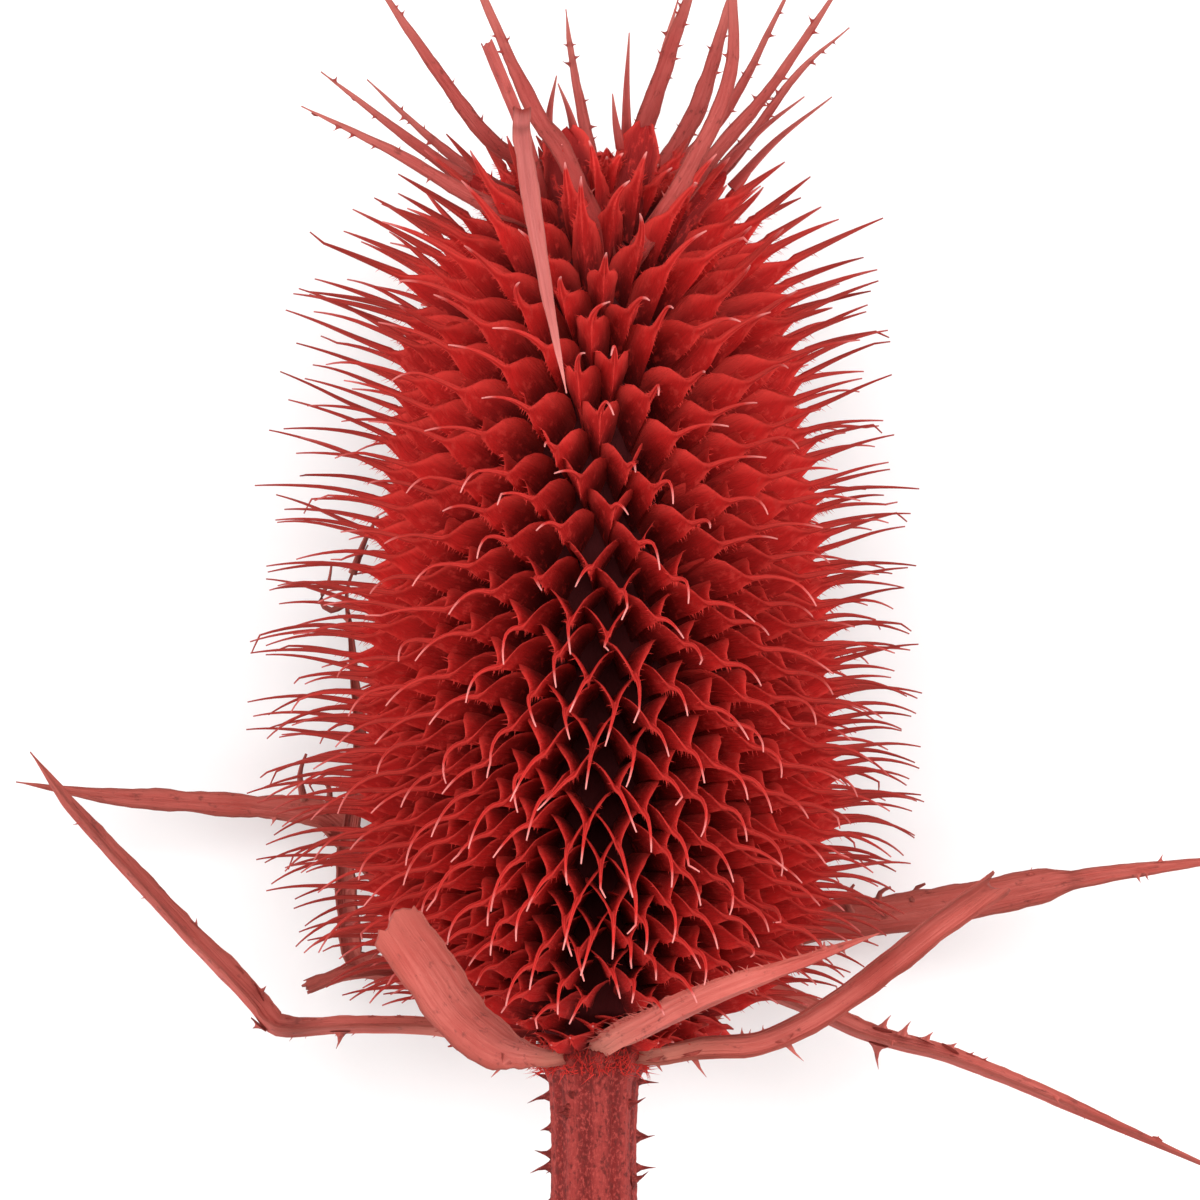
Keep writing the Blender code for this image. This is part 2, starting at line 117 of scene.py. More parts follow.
# %% [markdown]
# ## A skin for many small pieces
#
# A scale, a spine, a prickle and a long bract are all the same kind of form. Each is a strip that runs
# from its root to its tip, with an outer face, an inner face and a thin rim between them. So one
# helper skins them all. It takes two grids of points, one for each face, and joins their borders.
#
# The skin also keeps marks for the materials. Every point knows how far along its piece it is, how near
# to the rim it is, and a random shade that its whole piece shares. A second mark runs with the grain,
# so that fibres follow each piece whichever way it points.


# %% Directions, limits and a grid of faces
TO_CROWN = np.array([0.0, 1.0, 0.0])
ACROSS = np.array([1.0, 0.0, 0.0])
LOWEST = 0.02 * MM
SHARP_FROM = math.radians(65.0)


def unit(vectors):
    """The same directions with a length of one."""
    return vectors / np.linalg.norm(vectors, axis=-1, keepdims=True)


def sheet_faces(number):
    """The quads between the rows and columns of a grid of point numbers."""
    return np.stack(
        [number[:-1, :-1], number[:-1, 1:], number[1:, 1:], number[1:, :-1]], axis=-1
    ).reshape(-1, 4)


print("a grid of 3 by 4 points has", len(sheet_faces(np.arange(12).reshape(3, 4))), "quads")

# %% [markdown]
# Hundreds of scales as hundreds of objects would be slow, so many pieces share one skin. It gathers
# their points, faces and marks, and at the end it becomes one object. That object rides on the root of
# the frame and hides the CAD solids that it stands for.


# %% The skin
class Skin:
    """The points, faces and marks of many small pieces that become one mesh."""

    def __init__(self):
        self.points = []
        self.faces = []
        self.marks = []
        self.grain = []
        self.count = 0

    def add(self, points, faces, marks, grain):
        """Keeps the points, faces and marks of one piece. No point may lie under the floor."""
        for face_set in faces:
            self.faces.extend((np.asarray(face_set) + self.count).tolist())
        points = np.array(points, float).reshape(-1, 3)
        points[:, 2] = np.maximum(points[:, 2], LOWEST)
        self.points.append(points)
        self.marks.append(marks.reshape(-1, 4))
        self.grain.append(grain.reshape(-1, 3))
        self.count += len(points)

    def piece(self, name, material, slot, *nodes):
        """Makes the skin one object, which rides on the frame and stands for its nodes."""
        mesh = bpy.data.meshes.new(name)
        mesh.from_pydata(np.concatenate(self.points).tolist(), [], self.faces)
        marks = mesh.attributes.new("marks", "FLOAT_COLOR", "POINT")
        marks.data.foreach_set("color", np.concatenate(self.marks).astype(np.float32).ravel())
        grain = mesh.attributes.new("grain", "FLOAT_VECTOR", "POINT")
        grain.data.foreach_set("vector", np.concatenate(self.grain).astype(np.float32).ravel())
        mesh.polygons.foreach_set("use_smooth", [True] * len(mesh.polygons))
        mesh.set_sharp_from_angle(angle=SHARP_FROM)
        mesh.materials.append(material)
        obj = bpy.data.objects.new(name, mesh)
        bpy.context.scene.collection.objects.link(obj)
        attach(obj, "root")
        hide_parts(*nodes)
        triangles = sum(len(face) - 2 for face in self.faces)
        print(name, "has", triangles, "triangles")
        return obj


# %% [markdown]
# A shell is the thin closed piece between two grids of points. Its grain is measured across from the
# middle column, which is the keel, so that the fibres run beside the keel all along the piece. Every
# piece shifts its pattern a little by its own shade, and no two repeat each other.


# %% A shell
PIECE_SHIFT = 0.05
FACE_SHIFT = 0.01


def add_shell(skin, outer, inner, along, rim, shade, lengths, stain=0.0):
    """Skins two grids of points, rows by columns, into one closed thin piece."""
    rows, columns = outer.shape[:2]
    out = np.arange(rows * columns).reshape(rows, columns)
    inn = out + rows * columns
    faces = np.concatenate(
        [
            sheet_faces(out)[:, ::-1],
            sheet_faces(inn),
            sheet_faces(np.stack([out[:, 0], inn[:, 0]], axis=1)),
            sheet_faces(np.stack([inn[:, -1], out[:, -1]], axis=1)),
            sheet_faces(np.stack([inn[0], out[0]]))[:, ::-1],
            sheet_faces(np.stack([out[-1], inn[-1]]))[:, ::-1],
        ]
    )
    marks = np.zeros((2, rows, columns, 4))
    marks[..., 0] = np.reshape(along, (1, -1, 1))
    marks[..., 1] = np.reshape(rim, (1, 1, -1)) if np.ndim(rim) < 2 else rim[None]
    marks[..., 2] = shade
    marks[..., 3] = np.reshape(stain, (1, -1, 1))
    middle = columns // 2
    across = np.linalg.norm(outer - outer[:, middle : middle + 1], axis=2)
    across *= np.sign(np.arange(columns) - middle)
    grain = np.zeros((2, rows, columns, 3))
    grain[..., 0] = across[None]
    grain[..., 1] = np.reshape(lengths, (1, -1, 1))
    grain[..., 2] = shade * PIECE_SHIFT
    grain[1, ..., 2] += FACE_SHIFT
    points = np.concatenate([outer.reshape(-1, 3), inner.reshape(-1, 3)])
    skin.add(points, [faces], marks, grain)


print("the patterns of two pieces are up to", PIECE_SHIFT / MM, "mm apart")


# %% [markdown]
# The core and the stem are round all the way, so they are tubes: rings of points along an axis. The
# rings below stand round a line that runs to the crown, at the height of the head's axis.


# %% A tube
def level_rings(centre_x, start_y, steps, radii, turns):
    """Rings of points round a line to the crown, one for each step in millimetres."""
    return np.stack(
        [
            centre_x + radii * np.cos(turns)[None],
            start_y + steps[:, None] * MM + 0 * radii,
            AXIS_Z - radii * np.sin(turns)[None],
        ],
        axis=-1,
    )


def add_tube(skin, rings, along, rim, shade, lengths):
    """Skins closed rings of points into one rod, and closes both ends."""
    rows, sides = rings.shape[:2]
    number = np.arange(rows * sides).reshape(rows, sides)
    wall = sheet_faces(np.concatenate([number, number[:, :1]], axis=1))
    marks = np.zeros((rows, sides, 4))
    marks[..., 0] = np.reshape(along, (-1, 1))
    marks[..., 1] = np.reshape(rim, (1, -1))
    marks[..., 2] = shade
    turn = np.arange(sides) / sides * 2 * math.pi
    radius = np.linalg.norm(rings[0, 0] - rings[0].mean(axis=0))
    grain = np.zeros((rows, sides, 3))
    grain[..., 0] = np.cos(turn) * radius
    grain[..., 1] = np.reshape(lengths, (-1, 1))
    grain[..., 2] = np.sin(turn) * radius
    skin.add(rings, [wall, number[:1, ::-1], number[-1:]], marks, grain)


print("the rings stand round a line", AXIS_Z / MM, "mm over the floor")


# %% [markdown]
# Short hairs stand on the scales and round the collar. Hair curves don't survive the export, so each
# hair is a slim point of four triangles.


# %% Hairs
# Hairs carry the full rim mark and, near their points, the tip mark, so on the scales they take the
# painted light of the rims and the pale tip, which is partly a painted highlight.
HAIR_FOOT_MARKS = (0.6, 1.0)
HAIR_TIP_ALONG = 0.92


def add_hairs(skin, roots, ways, lengths, radius, shade):
    """Adds many short straight hairs, each a slim point on three sides."""
    number = np.arange(len(roots) * 4).reshape(-1, 4)
    ways = unit(ways)
    first = unit(np.cross(ways, np.where(np.abs(ways[:, 1:2]) < 0.8, TO_CROWN, ACROSS)))
    second = np.cross(ways, first)
    turns = np.array([0.0, 2.0, 4.0]) / 6.0 * 2 * math.pi
    ring = first[:, None] * np.cos(turns)[:, None] + second[:, None] * np.sin(turns)[:, None]
    tips = roots + ways * lengths[:, None]
    points = np.concatenate([roots[:, None] + ring * radius, tips[:, None]], axis=1)
    marks = np.ones((len(roots), 4, 4)) * (*HAIR_FOOT_MARKS, shade, 0.0)
    marks[:, 3, 0] = HAIR_TIP_ALONG
    faces = [number[:, corners] for corners in ([0, 1, 3], [1, 2, 3], [2, 0, 3], [2, 1, 0])]
    skin.add(points, faces, marks, points.copy())


print("a hair counts as a dry tip from", HAIR_TIP_ALONG, "on")

# %% [markdown]
# ## Colours and materials
#
# The plant was dried and then dyed. Dye soaks evenly into thin scales, and hardly takes on the hard
# tips of the spines, which stay pale pink; that pale is partly a painted highlight too. The scales are
# painted darker at their roots, partly for dye that pools there and partly as painted shade of the
# deep cells, and their bright rims and keels are painted light. The tough stem and the involucral
# bracts show their straw colour through the dye as an old rose, with brown blotches and darker lines
# between their ribs.
#
# Four effects are shared by all of these materials, so each is a node group. The first stretches noise
# along the grain into fibres. The second mixes a light and a deep colour in patches, and gives each
# piece its own shade. The third finds the pale tips, which are dry and on the spines partly a painted
# highlight, and the fourth brown blotches.


# %% A helper for node groups
def new_group(name, inputs, outputs):
    """A node group with its sockets, and its input and output nodes."""
    group = bpy.data.node_groups.new(name, "ShaderNodeTree")
    for title, kind, value in inputs:
        socket = group.interface.new_socket(name=title, in_out="INPUT", socket_type=kind)
        if value is not None:
            socket.default_value = value
    for title, kind in outputs:
        group.interface.new_socket(name=title, in_out="OUTPUT", socket_type=kind)
    return group, group.nodes.new("NodeGroupInput"), group.nodes.new("NodeGroupOutput")


def feed(tree, socket, value):
    """Gives a socket a number or a colour of three shares, or links it to another socket."""
    if isinstance(value, tuple):
        socket.default_value = (*value, 1.0)
    elif isinstance(value, (int, float)):
        socket.default_value = value
    else:
        tree.links.new(value, socket)


print("groups take their values as numbers, colours and links")

# %% [markdown]
# Each kind of node that the materials use often gets a small function. It takes numbers and sockets
# alike and gives back the socket of its result, so that a tree of nodes reads like a sum.


# %% Small functions for nodes
def noise(tree, vector, scale, detail=3.0, roughness=0.55):
    """A noise texture over a vector socket."""
    node = tree.nodes.new("ShaderNodeTexNoise")
    node.inputs["Detail"].default_value = detail
    node.inputs["Roughness"].default_value = roughness
    feed(tree, node.inputs["Vector"], vector)
    feed(tree, node.inputs["Scale"], scale)
    return node.outputs["Fac"]


def calculate(tree, operation, *values, clamp=False):
    """A math node."""
    node = tree.nodes.new("ShaderNodeMath")
    node.operation = operation
    node.use_clamp = clamp
    for socket, value in zip(node.inputs, values):
        feed(tree, socket, value)
    return node.outputs[0]


def blend(tree, share, first, second):
    """A colour that goes from the first to the second as the share goes from 0 to 1."""
    node = tree.nodes.new("ShaderNodeMix")
    node.data_type = "RGBA"
    for name, value in (("Factor", share), ("A", first), ("B", second)):
        kind = "NodeSocketFloatFactor" if name == "Factor" else "NodeSocketColor"
        feed(tree, next(s for s in node.inputs if s.name == name and s.bl_idname == kind), value)
    return next(s for s in node.outputs if s.bl_idname == "NodeSocketColor")


def ramp(tree, value, low, high):
    """A smooth step from 0 to 1 between low and high."""
    node = tree.nodes.new("ShaderNodeMapRange")
    node.interpolation_type = "SMOOTHSTEP"
    for name, given_value in (("Value", value), ("From Min", low), ("From Max", high)):
        feed(tree, node.inputs[name], given_value)
    return node.outputs["Result"]


print("four kinds of nodes have a function")

# %% [markdown]
# Dried plant tissue is a bundle of fibres that run from root to tip. Noise that is stretched along the
# grain gives them, and unstretched noise gives the fine grain between them. The grain is a mark on the
# mesh, so the fibres turn with each piece, which a texture in plain object space can't do.

# %% The fibres
fibres, asked, given = new_group(
    "Plant Fibres",
    [
        ("Grain", "NodeSocketVector", None),
        ("Fibres per Metre", "NodeSocketFloat", 4000.0),
        ("Stretch", "NodeSocketFloat", 9.0),
    ],
    [("Strands", "NodeSocketFloat"), ("Fine Grain", "NodeSocketFloat")],
)
thin = fibres.nodes.new("ShaderNodeCombineXYZ")
thin.inputs["X"].default_value = 1.0
thin.inputs["Z"].default_value = 1.0
fibres.links.new(calculate(fibres, "DIVIDE", 1.0, asked.outputs["Stretch"]), thin.inputs["Y"])
stretched = fibres.nodes.new("ShaderNodeVectorMath")
stretched.operation = "MULTIPLY"
fibres.links.new(asked.outputs["Grain"], stretched.inputs[0])
fibres.links.new(thin.outputs["Vector"], stretched.inputs[1])
strands = noise(fibres, stretched.outputs["Vector"], asked.outputs["Fibres per Metre"], 4.0, 0.6)
fibres.links.new(ramp(fibres, strands, 0.3, 0.7), given.inputs["Strands"])
fine = noise(fibres, asked.outputs["Grain"], asked.outputs["Fibres per Metre"], 5.0, 0.7)
fibres.links.new(fine, given.inputs["Fine Grain"])
print("made the group", fibres.name)

# %% [markdown]
# The head was dipped or sprayed, and the dye took unevenly. Soft patches of noise carry the deep
# colour, and every piece has its own share of it besides, so that no two neighbours look quite alike.

# %% The dye
dye, asked, given = new_group(
    "Uneven Dye",
    [
        ("Position", "NodeSocketVector", None),
        ("Full Colour", "NodeSocketColor", (0.5, 0.03, 0.03, 1.0)),
        ("Deep Colour", "NodeSocketColor", (0.2, 0.01, 0.01, 1.0)),
        ("Shade of the Piece", "NodeSocketFloat", 0.5),
        ("Patches per Metre", "NodeSocketFloat", 90.0),
    ],
    [("Color", "NodeSocketColor")],
)
PIECE_SHARE = 0.45
PATCH_SHARE = 0.55
patches = noise(dye, asked.outputs["Position"], asked.outputs["Patches per Metre"], 5.0, 0.6)
patch_mask = ramp(dye, patches, 0.42, 0.72)
piece_share = calculate(dye, "MULTIPLY", asked.outputs["Shade of the Piece"], PIECE_SHARE)
depth_share = calculate(dye, "MULTIPLY_ADD", patch_mask, PATCH_SHARE, piece_share, clamp=True)
dyed = blend(dye, depth_share, asked.outputs["Full Colour"], asked.outputs["Deep Colour"])
dye.links.new(dyed, given.inputs["Color"])
print("made the group", dye.name)

# %% [markdown]
# The hard tips of the spines hardly take the dye, and their pale colour is partly a painted highlight
# too. A step along the piece finds them, and a little noise shifts it from spine to spine, because a
# border at one place everywhere would look painted.

# %% The pale tips, dry and partly a painted highlight
tips, asked, given = new_group(
    "Dry Tips and Painted Highlights",
    [
        ("Along", "NodeSocketFloat", 0.0),
        ("Position", "NodeSocketVector", None),
        ("Start", "NodeSocketFloat", 0.8),
        ("End", "NodeSocketFloat", 0.95),
    ],
    [("Mask", "NodeSocketFloat")],
)
TIP_WANDER = 0.10
wander = noise(tips, asked.outputs["Position"], 900.0, 2.0)
shifted = calculate(tips, "MULTIPLY_ADD", wander, TIP_WANDER, asked.outputs["Along"])
shifted = calculate(tips, "SUBTRACT", shifted, TIP_WANDER / 2)
tip_mask = ramp(tips, shifted, asked.outputs["Start"], asked.outputs["End"])
tips.links.new(tip_mask, given.inputs["Mask"])
print("made the group", tips.name)

# %% [markdown]
# Mould, bruises and pooled dye leave blotches. They are the peaks of a noise that is a little longer
# along the grain. The amount sets how high a peak must be, and a stained place lifts them all.

# %% The brown blotches
blotches, asked, given = new_group(
    "Brown Blotches",
    [
        ("Grain", "NodeSocketVector", None),
        ("Blotches per Metre", "NodeSocketFloat", 350.0),
        ("Amount", "NodeSocketFloat", 0.4),
        ("Stain", "NodeSocketFloat", 0.0),
    ],
    [("Mask", "NodeSocketFloat")],
)
BLOTCH_LENGTH = 0.65
STAIN_LIFT = 0.09
BLOTCH_EDGE = 0.15
squeezed = blotches.nodes.new("ShaderNodeVectorMath")
squeezed.operation = "MULTIPLY"
squeezed.inputs[1].default_value = (1.0, BLOTCH_LENGTH, 1.0)
blotches.links.new(asked.outputs["Grain"], squeezed.inputs[0])
size = asked.outputs["Blotches per Metre"]
spots = noise(blotches, squeezed.outputs["Vector"], size, 6.0, 0.65)
spots = calculate(blotches, "MULTIPLY_ADD", asked.outputs["Stain"], STAIN_LIFT, spots)
lowest = calculate(blotches, "MULTIPLY_ADD", asked.outputs["Amount"], -0.25, 0.72)
highest = calculate(blotches, "ADD", lowest, BLOTCH_EDGE)
blotches.links.new(ramp(blotches, spots, lowest, highest), given.inputs["Mask"])
print("made the group", blotches.name)

# %% [markdown]
# A finish is a list of colours and measures, and most of its measures are the same for all of them. So
# the plain values stand in one table, and each finish only names what it has of its own.


# %% Placing a group, and what every finish starts from
def place_group(tree, group, values):
    """Places a node group in a material, with its numbers, colours and links."""
    node = tree.nodes.new("ShaderNodeGroup")
    node.node_tree = group
    for title, value in values.items():
        feed(tree, node.inputs[title], value)
    return node


SHEEN_TINT = (0.90, 0.08, 0.07, 1.0)
PLAIN_FINISH = {
    "rim_share": 0.5,
    "root_ends": 0.35,
    "tip_starts": 0.86,
    "tip_ends": 0.97,
    "fibres": 4000.0,
    "stretch": 10.0,
    "fibre_share": 0.35,
    "patches": 90.0,
    "stain_colour": (0.15, 0.030, 0.022),
    "stain_share": 0.6,
    "bump": 0.00008,
    "smooth": 0.55,
    "rough": 0.85,
    "specular": 0.2,
    "sheen": 0.0,
}
print("a finish starts from", len(PLAIN_FINISH), "plain values")

# %% [markdown]
# The colours lie over each other in this order: the dye with its fibres, the root colour, the rim
# colour, pale flecks, brown stains and spots, and last the pale tip. On the scales the darker root is
# partly deeper dye and partly painted shade of the deep cells, the brighter rim and keel are painted
# light, and the pale tip is dry and partly a painted highlight. A finish without a colour for flecks
# or for spots has none.


# %% The colour of a dyed surface
def dyed_colour(tree, finish, marks, grain, place, strands):
    """The colour socket of a dyed surface, from the marks of its skin."""
    split = tree.nodes.new("ShaderNodeSeparateColor")
    tree.links.new(marks.outputs["Color"], split.inputs["Color"])
    along, rim, shade = split.outputs[0], split.outputs[1], split.outputs[2]
    stain = marks.outputs["Alpha"]
    dye_values = {
        "Position": place,
        "Full Colour": finish["full"],
        "Deep Colour": finish["deep"],
        "Shade of the Piece": shade,
        "Patches per Metre": finish["patches"],
    }
    colour = place_group(tree, dye, dye_values).outputs["Color"]
    fibrous = calculate(tree, "MULTIPLY", strands, finish["fibre_share"])
    colour = blend(tree, fibrous, colour, finish["deep"])
    # The root colour: on the scales it is darker, partly deeper dye and partly painted shade of the
    # deep cells.
    colour = blend(tree, ramp(tree, along, finish["root_ends"], 0.0), colour, finish["root_colour"])
    # The rim colour: on the scales painted light on their thin rims and keels, elsewhere the edge's or
    # ridge's own colour.
    rim_light_and_edge_share = calculate(tree, "MULTIPLY", ramp(tree, rim, 0.5, 1.0), finish["rim_share"])
    colour = blend(tree, rim_light_and_edge_share, colour, finish["rim"])
    if "fleck_colour" in finish:
        values = {"Blotches per Metre": finish["flecks"], "Amount": finish["fleck_amount"]}
        fleck = place_group(tree, blotches, {"Grain": grain, **values})
        colour = blend(tree, fleck.outputs["Mask"], colour, finish["fleck_colour"])
    stained = calculate(tree, "MULTIPLY", stain, finish["stain_share"])
    colour = blend(tree, stained, colour, finish["stain_colour"])
    if "spot_colour" in finish:
        values = {"Blotches per Metre": finish["spots"], "Amount": finish["spot_amount"]}
        spot = place_group(tree, blotches, {"Grain": grain, "Stain": stain, **values})
        colour = blend(tree, spot.outputs["Mask"], colour, finish["spot_colour"])
    # The pale tip: dry, and on the scales partly a painted highlight.
    values = {"Start": finish["tip_starts"], "End": finish["tip_ends"]}
    dry = place_group(tree, tips, {"Along": along, "Position": place, **values})
    unstained = calculate(tree, "SUBTRACT", 1.0, stain, clamp=True)
    dry_and_highlight_share = calculate(tree, "MULTIPLY", dry.outputs["Mask"], unstained)
    return blend(tree, dry_and_highlight_share, colour, finish["tip"])


print("a plain finish lets stains take", PLAIN_FINISH["stain_share"], "of its colour")

# %% [markdown]
# The fibres also make the surface uneven. They lift it by a bump of a tenth of a millimetre, and the
# fine grain makes it rougher in places. A faint red sheen stands for the down on the scales.


# %% A material of dried plant
FINE_RELIEF = 0.4
BUMP_STRENGTH = 0.6
SHEEN_ROUGHNESS = 0.4


def plant_material(name, **own):
    """A dyed dry plant surface whose fibres, shade and tips follow the marks of its skin."""
    finish = {**PLAIN_FINISH, "root_colour": own["deep"], **own}
    material = bpy.data.materials.new(name)
    material.use_nodes = True
    tree = material.node_tree
    shader = tree.nodes["Principled BSDF"]
    marks = tree.nodes.new("ShaderNodeAttribute")
    marks.attribute_name = "marks"
    grain_mark = tree.nodes.new("ShaderNodeAttribute")
    grain_mark.attribute_name = "grain"
    grain = grain_mark.outputs["Vector"]
    place = tree.nodes.new("ShaderNodeTexCoord").outputs["Object"]
    values = {"Fibres per Metre": finish["fibres"], "Stretch": finish["stretch"]}
    fibre = place_group(tree, fibres, {"Grain": grain, **values})
    strands, fine_grain = fibre.outputs["Strands"], fibre.outputs["Fine Grain"]
    colour = dyed_colour(tree, finish, marks, grain, place, strands)
    tree.links.new(colour, shader.inputs["Base Color"])
    reach = finish["rough"] - finish["smooth"]
    roughness = calculate(tree, "MULTIPLY_ADD", fine_grain, reach, finish["smooth"])
    tree.links.new(roughness, shader.inputs["Roughness"])
    bump = tree.nodes.new("ShaderNodeBump")
    bump.inputs["Strength"].default_value = BUMP_STRENGTH
    bump.inputs["Distance"].default_value = finish["bump"]
    relief = calculate(tree, "MULTIPLY_ADD", fine_grain, FINE_RELIEF, strands)
    tree.links.new(relief, bump.inputs["Height"])
    tree.links.new(bump.outputs["Normal"], shader.inputs["Normal"])
    shader.inputs["Specular IOR Level"].default_value = finish["specular"]
    shader.inputs["Sheen Weight"].default_value = finish["sheen"]
    shader.inputs["Sheen Roughness"].default_value = SHEEN_ROUGHNESS
    shader.inputs["Sheen Tint"].default_value = SHEEN_TINT
    print("made the material", name)
    return material


# %% [markdown]
# The scales are a strong even red, with rims that the light comes through and fine pale flecks. The
# crown bracts are duller, and speckled with brown where they stood out and weathered.

# %% The finishes of the scales and the crown
scale_red = plant_material(
    "dyed scales",
    full=(0.56, 0.018, 0.016),
    deep=(0.30, 0.010, 0.009),
    # pale tip: dry, and partly a painted highlight
    tip=(0.76, 0.27, 0.25),
    # bright rim and keel: painted light
    rim=(0.82, 0.066, 0.052),
    rim_share=0.55,
    # dark root: partly deeper dye, partly painted shade of the deep cells
    root_colour=(0.115, 0.012, 0.012),
    root_ends=0.42,
    tip_starts=0.84,
    tip_ends=0.99,
    fleck_colour=(0.53, 0.034, 0.028),
    flecks=1400.0,
    fleck_amount=0.80,
    stain_colour=(0.27, 0.036, 0.028),
    stain_share=0.8,
    bump=0.00013,
    specular=0.08,
    sheen=0.10,
)
crown_red = plant_material(
    "dyed crown bracts",
    full=(0.45, 0.090, 0.076),
    deep=(0.30, 0.034, 0.029),
    tip=(0.47, 0.135, 0.112),
    rim=(0.27, 0.045, 0.035),
    root_colour=(0.32, 0.010, 0.009),
    root_ends=0.52,
    tip_starts=0.60,
    tip_ends=1.0,
    spot_colour=(0.17, 0.026, 0.020),
    spots=1500.0,
    spot_amount=0.62,
    fibre_share=0.6,
)

# %% [markdown]
# The stem and the involucral bracts are woody, so their fibres are longer and their straw colour shows.
# The stem has both dark spots and pale flecks close together, which gives its mottled bark.

# %% The finishes of the involucre and the stem
involucre_rose = plant_material(
    "dyed involucral bracts",
    full=(0.62, 0.160, 0.130),
    deep=(0.42, 0.062, 0.048),
    tip=(0.46, 0.100, 0.078),
    rim=(0.32, 0.070, 0.050),
    root_colour=(0.64, 0.23, 0.17),
    root_ends=0.38,
    tip_starts=0.84,
    tip_ends=1.0,
    spot_colour=(0.23, 0.050, 0.040),
    spots=1100.0,
    spot_amount=0.58,
    fleck_colour=(0.64, 0.21, 0.17),
    flecks=7000.0,
    fleck_amount=0.35,
    fibres=3000.0,
    stretch=22.0,
    fibre_share=0.65,
    patches=130.0,
    bump=0.00016,
)
stem_red = plant_material(
    "dyed stem",
    full=(0.21, 0.014, 0.012),
    deep=(0.10, 0.006, 0.005),
    tip=(0.21, 0.014, 0.012),
    rim=(0.33, 0.038, 0.031),
    rim_share=0.65,
    root_colour=(0.22, 0.018, 0.015),
    root_ends=0.05,
    tip_starts=1.2,
    tip_ends=1.4,
    spot_colour=(0.115, 0.010, 0.008),
    spots=2600.0,
    spot_amount=0.92,
    fleck_colour=(0.34, 0.044, 0.036),
    flecks=4600.0,
    fleck_amount=0.98,
    fibres=2600.0,
    stretch=18.0,
    fibre_share=0.5,
    patches=260.0,
    bump=0.00022,
)

# %% [markdown]
# The snapped strip has bleached to a pale pink. The core is the one dark thing: its dark colour is
# painted shade, for the shade deep in the cells round it, and it has no finish of its own beyond a
# deep colour.

# %% The finishes of the snapped strip and the core
straw_pink = plant_material(
    "pale dried strip",
    full=(0.56, 0.155, 0.140),
    deep=(0.40, 0.085, 0.076),
    tip=(0.62, 0.20, 0.18),
    rim=(0.44, 0.11, 0.09),
    root_colour=(0.40, 0.030, 0.026),
    root_ends=0.03,
    tip_starts=0.7,
    tip_ends=1.0,
    fleck_colour=(0.60, 0.20, 0.18),
    flecks=5000.0,
    fleck_amount=0.4,
    fibres=2800.0,
    stretch=24.0,
    fibre_share=0.6,
    bump=0.00012,
)
# The core's dark colour is painted shade: it stands for the shade deep in the cells between the scales.
core_painted_shade = plant_material(
    "dark core",
    full=(0.150, 0.022, 0.024),
    deep=(0.080, 0.011, 0.012),
    tip=(0.150, 0.022, 0.024),
    rim=(0.150, 0.022, 0.024),
    specular=0.05,
)

# %% [markdown]
# ## The head
#
# A teasel head is a fleshy core that carries hundreds of scales. Each stands the golden angle round
# from the last, which is how the plant packs them without gaps. The table below gives, at heights over
# the base of the head, the core's radius, how far the scales tilt up to the crown, how long the scale
# and its spine are, how far the spine droops, and how far apart neighbours stand.
#
# The whole head could be one scale scattered with geometry nodes, but instances don't survive the
# export, and here each scale takes its own size, bend and shade. So a loop builds them.

# %% The head's measured rows
BASE_Y = -27.0 * MM
HEAD_HEIGHT = np.array([2.6, 5.2, 10.0, 18.0, 28.0, 38.0, 48.0, 55.0, 60.0, 64.0, 66.2])
CORE_RADIUS = np.array([6.6, 8.2, 9.8, 10.4, 10.2, 9.5, 8.4, 7.4, 6.2, 4.4, 1.6])
SCALE_TILT = np.array([4.0, -2.0, -8.0, -6.0, 2.0, 11.0, 21.0, 31.0, 44.0, 58.0, 76.0])
SIDE_LIFT = np.array([0.0, 2.0, 9.0, 13.0, 10.0, 6.0, 2.0, -2.0, -5.0, -3.0, 0.0])
LIP_BEND = np.array([2.0, 4.0, 9.0, 22.0, 26.0, 20.0, 10.0, 4.0, 0.0, 0.0, 0.0])
SCALE_LENGTH = np.array([5.4, 6.6, 8.0, 8.5, 8.4, 8.0, 8.0, 7.6, 5.6, 3.6, 2.6])
HALF_WIDTH = np.array([1.55, 1.65, 1.80, 1.95, 2.05, 1.80, 1.45, 1.20, 1.10, 1.05, 1.00])
SPINE_LENGTH = np.array([4.4, 5.2, 6.0, 6.8, 7.2, 7.4, 7.8, 7.6, 5.0, 2.4, 1.6])
SPINE_DROOP = np.array([26.0, 28.0, 33.0, 34.0, 27.0, 17.0, 10.0, 6.0, 3.0, 2.0, 0.0])
SPACING = np.array([2.6, 2.6, 2.6, 2.7, 3.1, 3.4, 3.5, 3.3, 3.1, 3.0, 3.0])
STEEPNESS = np.array([1.0, 1.10, 1.10, 1.05, 1.05, 1.30, 1.8, 1.7, 1.4, 1.1, 0.9])
GOLDEN_ANGLE = math.radians(137.508)
print("the table has", len(HEAD_HEIGHT), "rows")

# %% [markdown]
# The scales stand as close as the spacing asks. How many fit on a ring of the head follows from its
# girth over the scales, and the sum of that from the base up gives the height of each scale in turn.


# %% The heights of the scales
CELL_SHARE = 0.94
SINKS_FROM = 60.0
SINK_SHARE = 0.2


def at_height(column, height):
    """A column of the table at a height over the base, in millimetres or degrees."""
    return float(np.interp(height, HEAD_HEIGHT, column))


def sunk(height):
    """A height over the base, with the blunt tip of the head a little lower than the table has it."""
    return height - SINK_SHARE * np.maximum(0.0, height - SINKS_FROM)


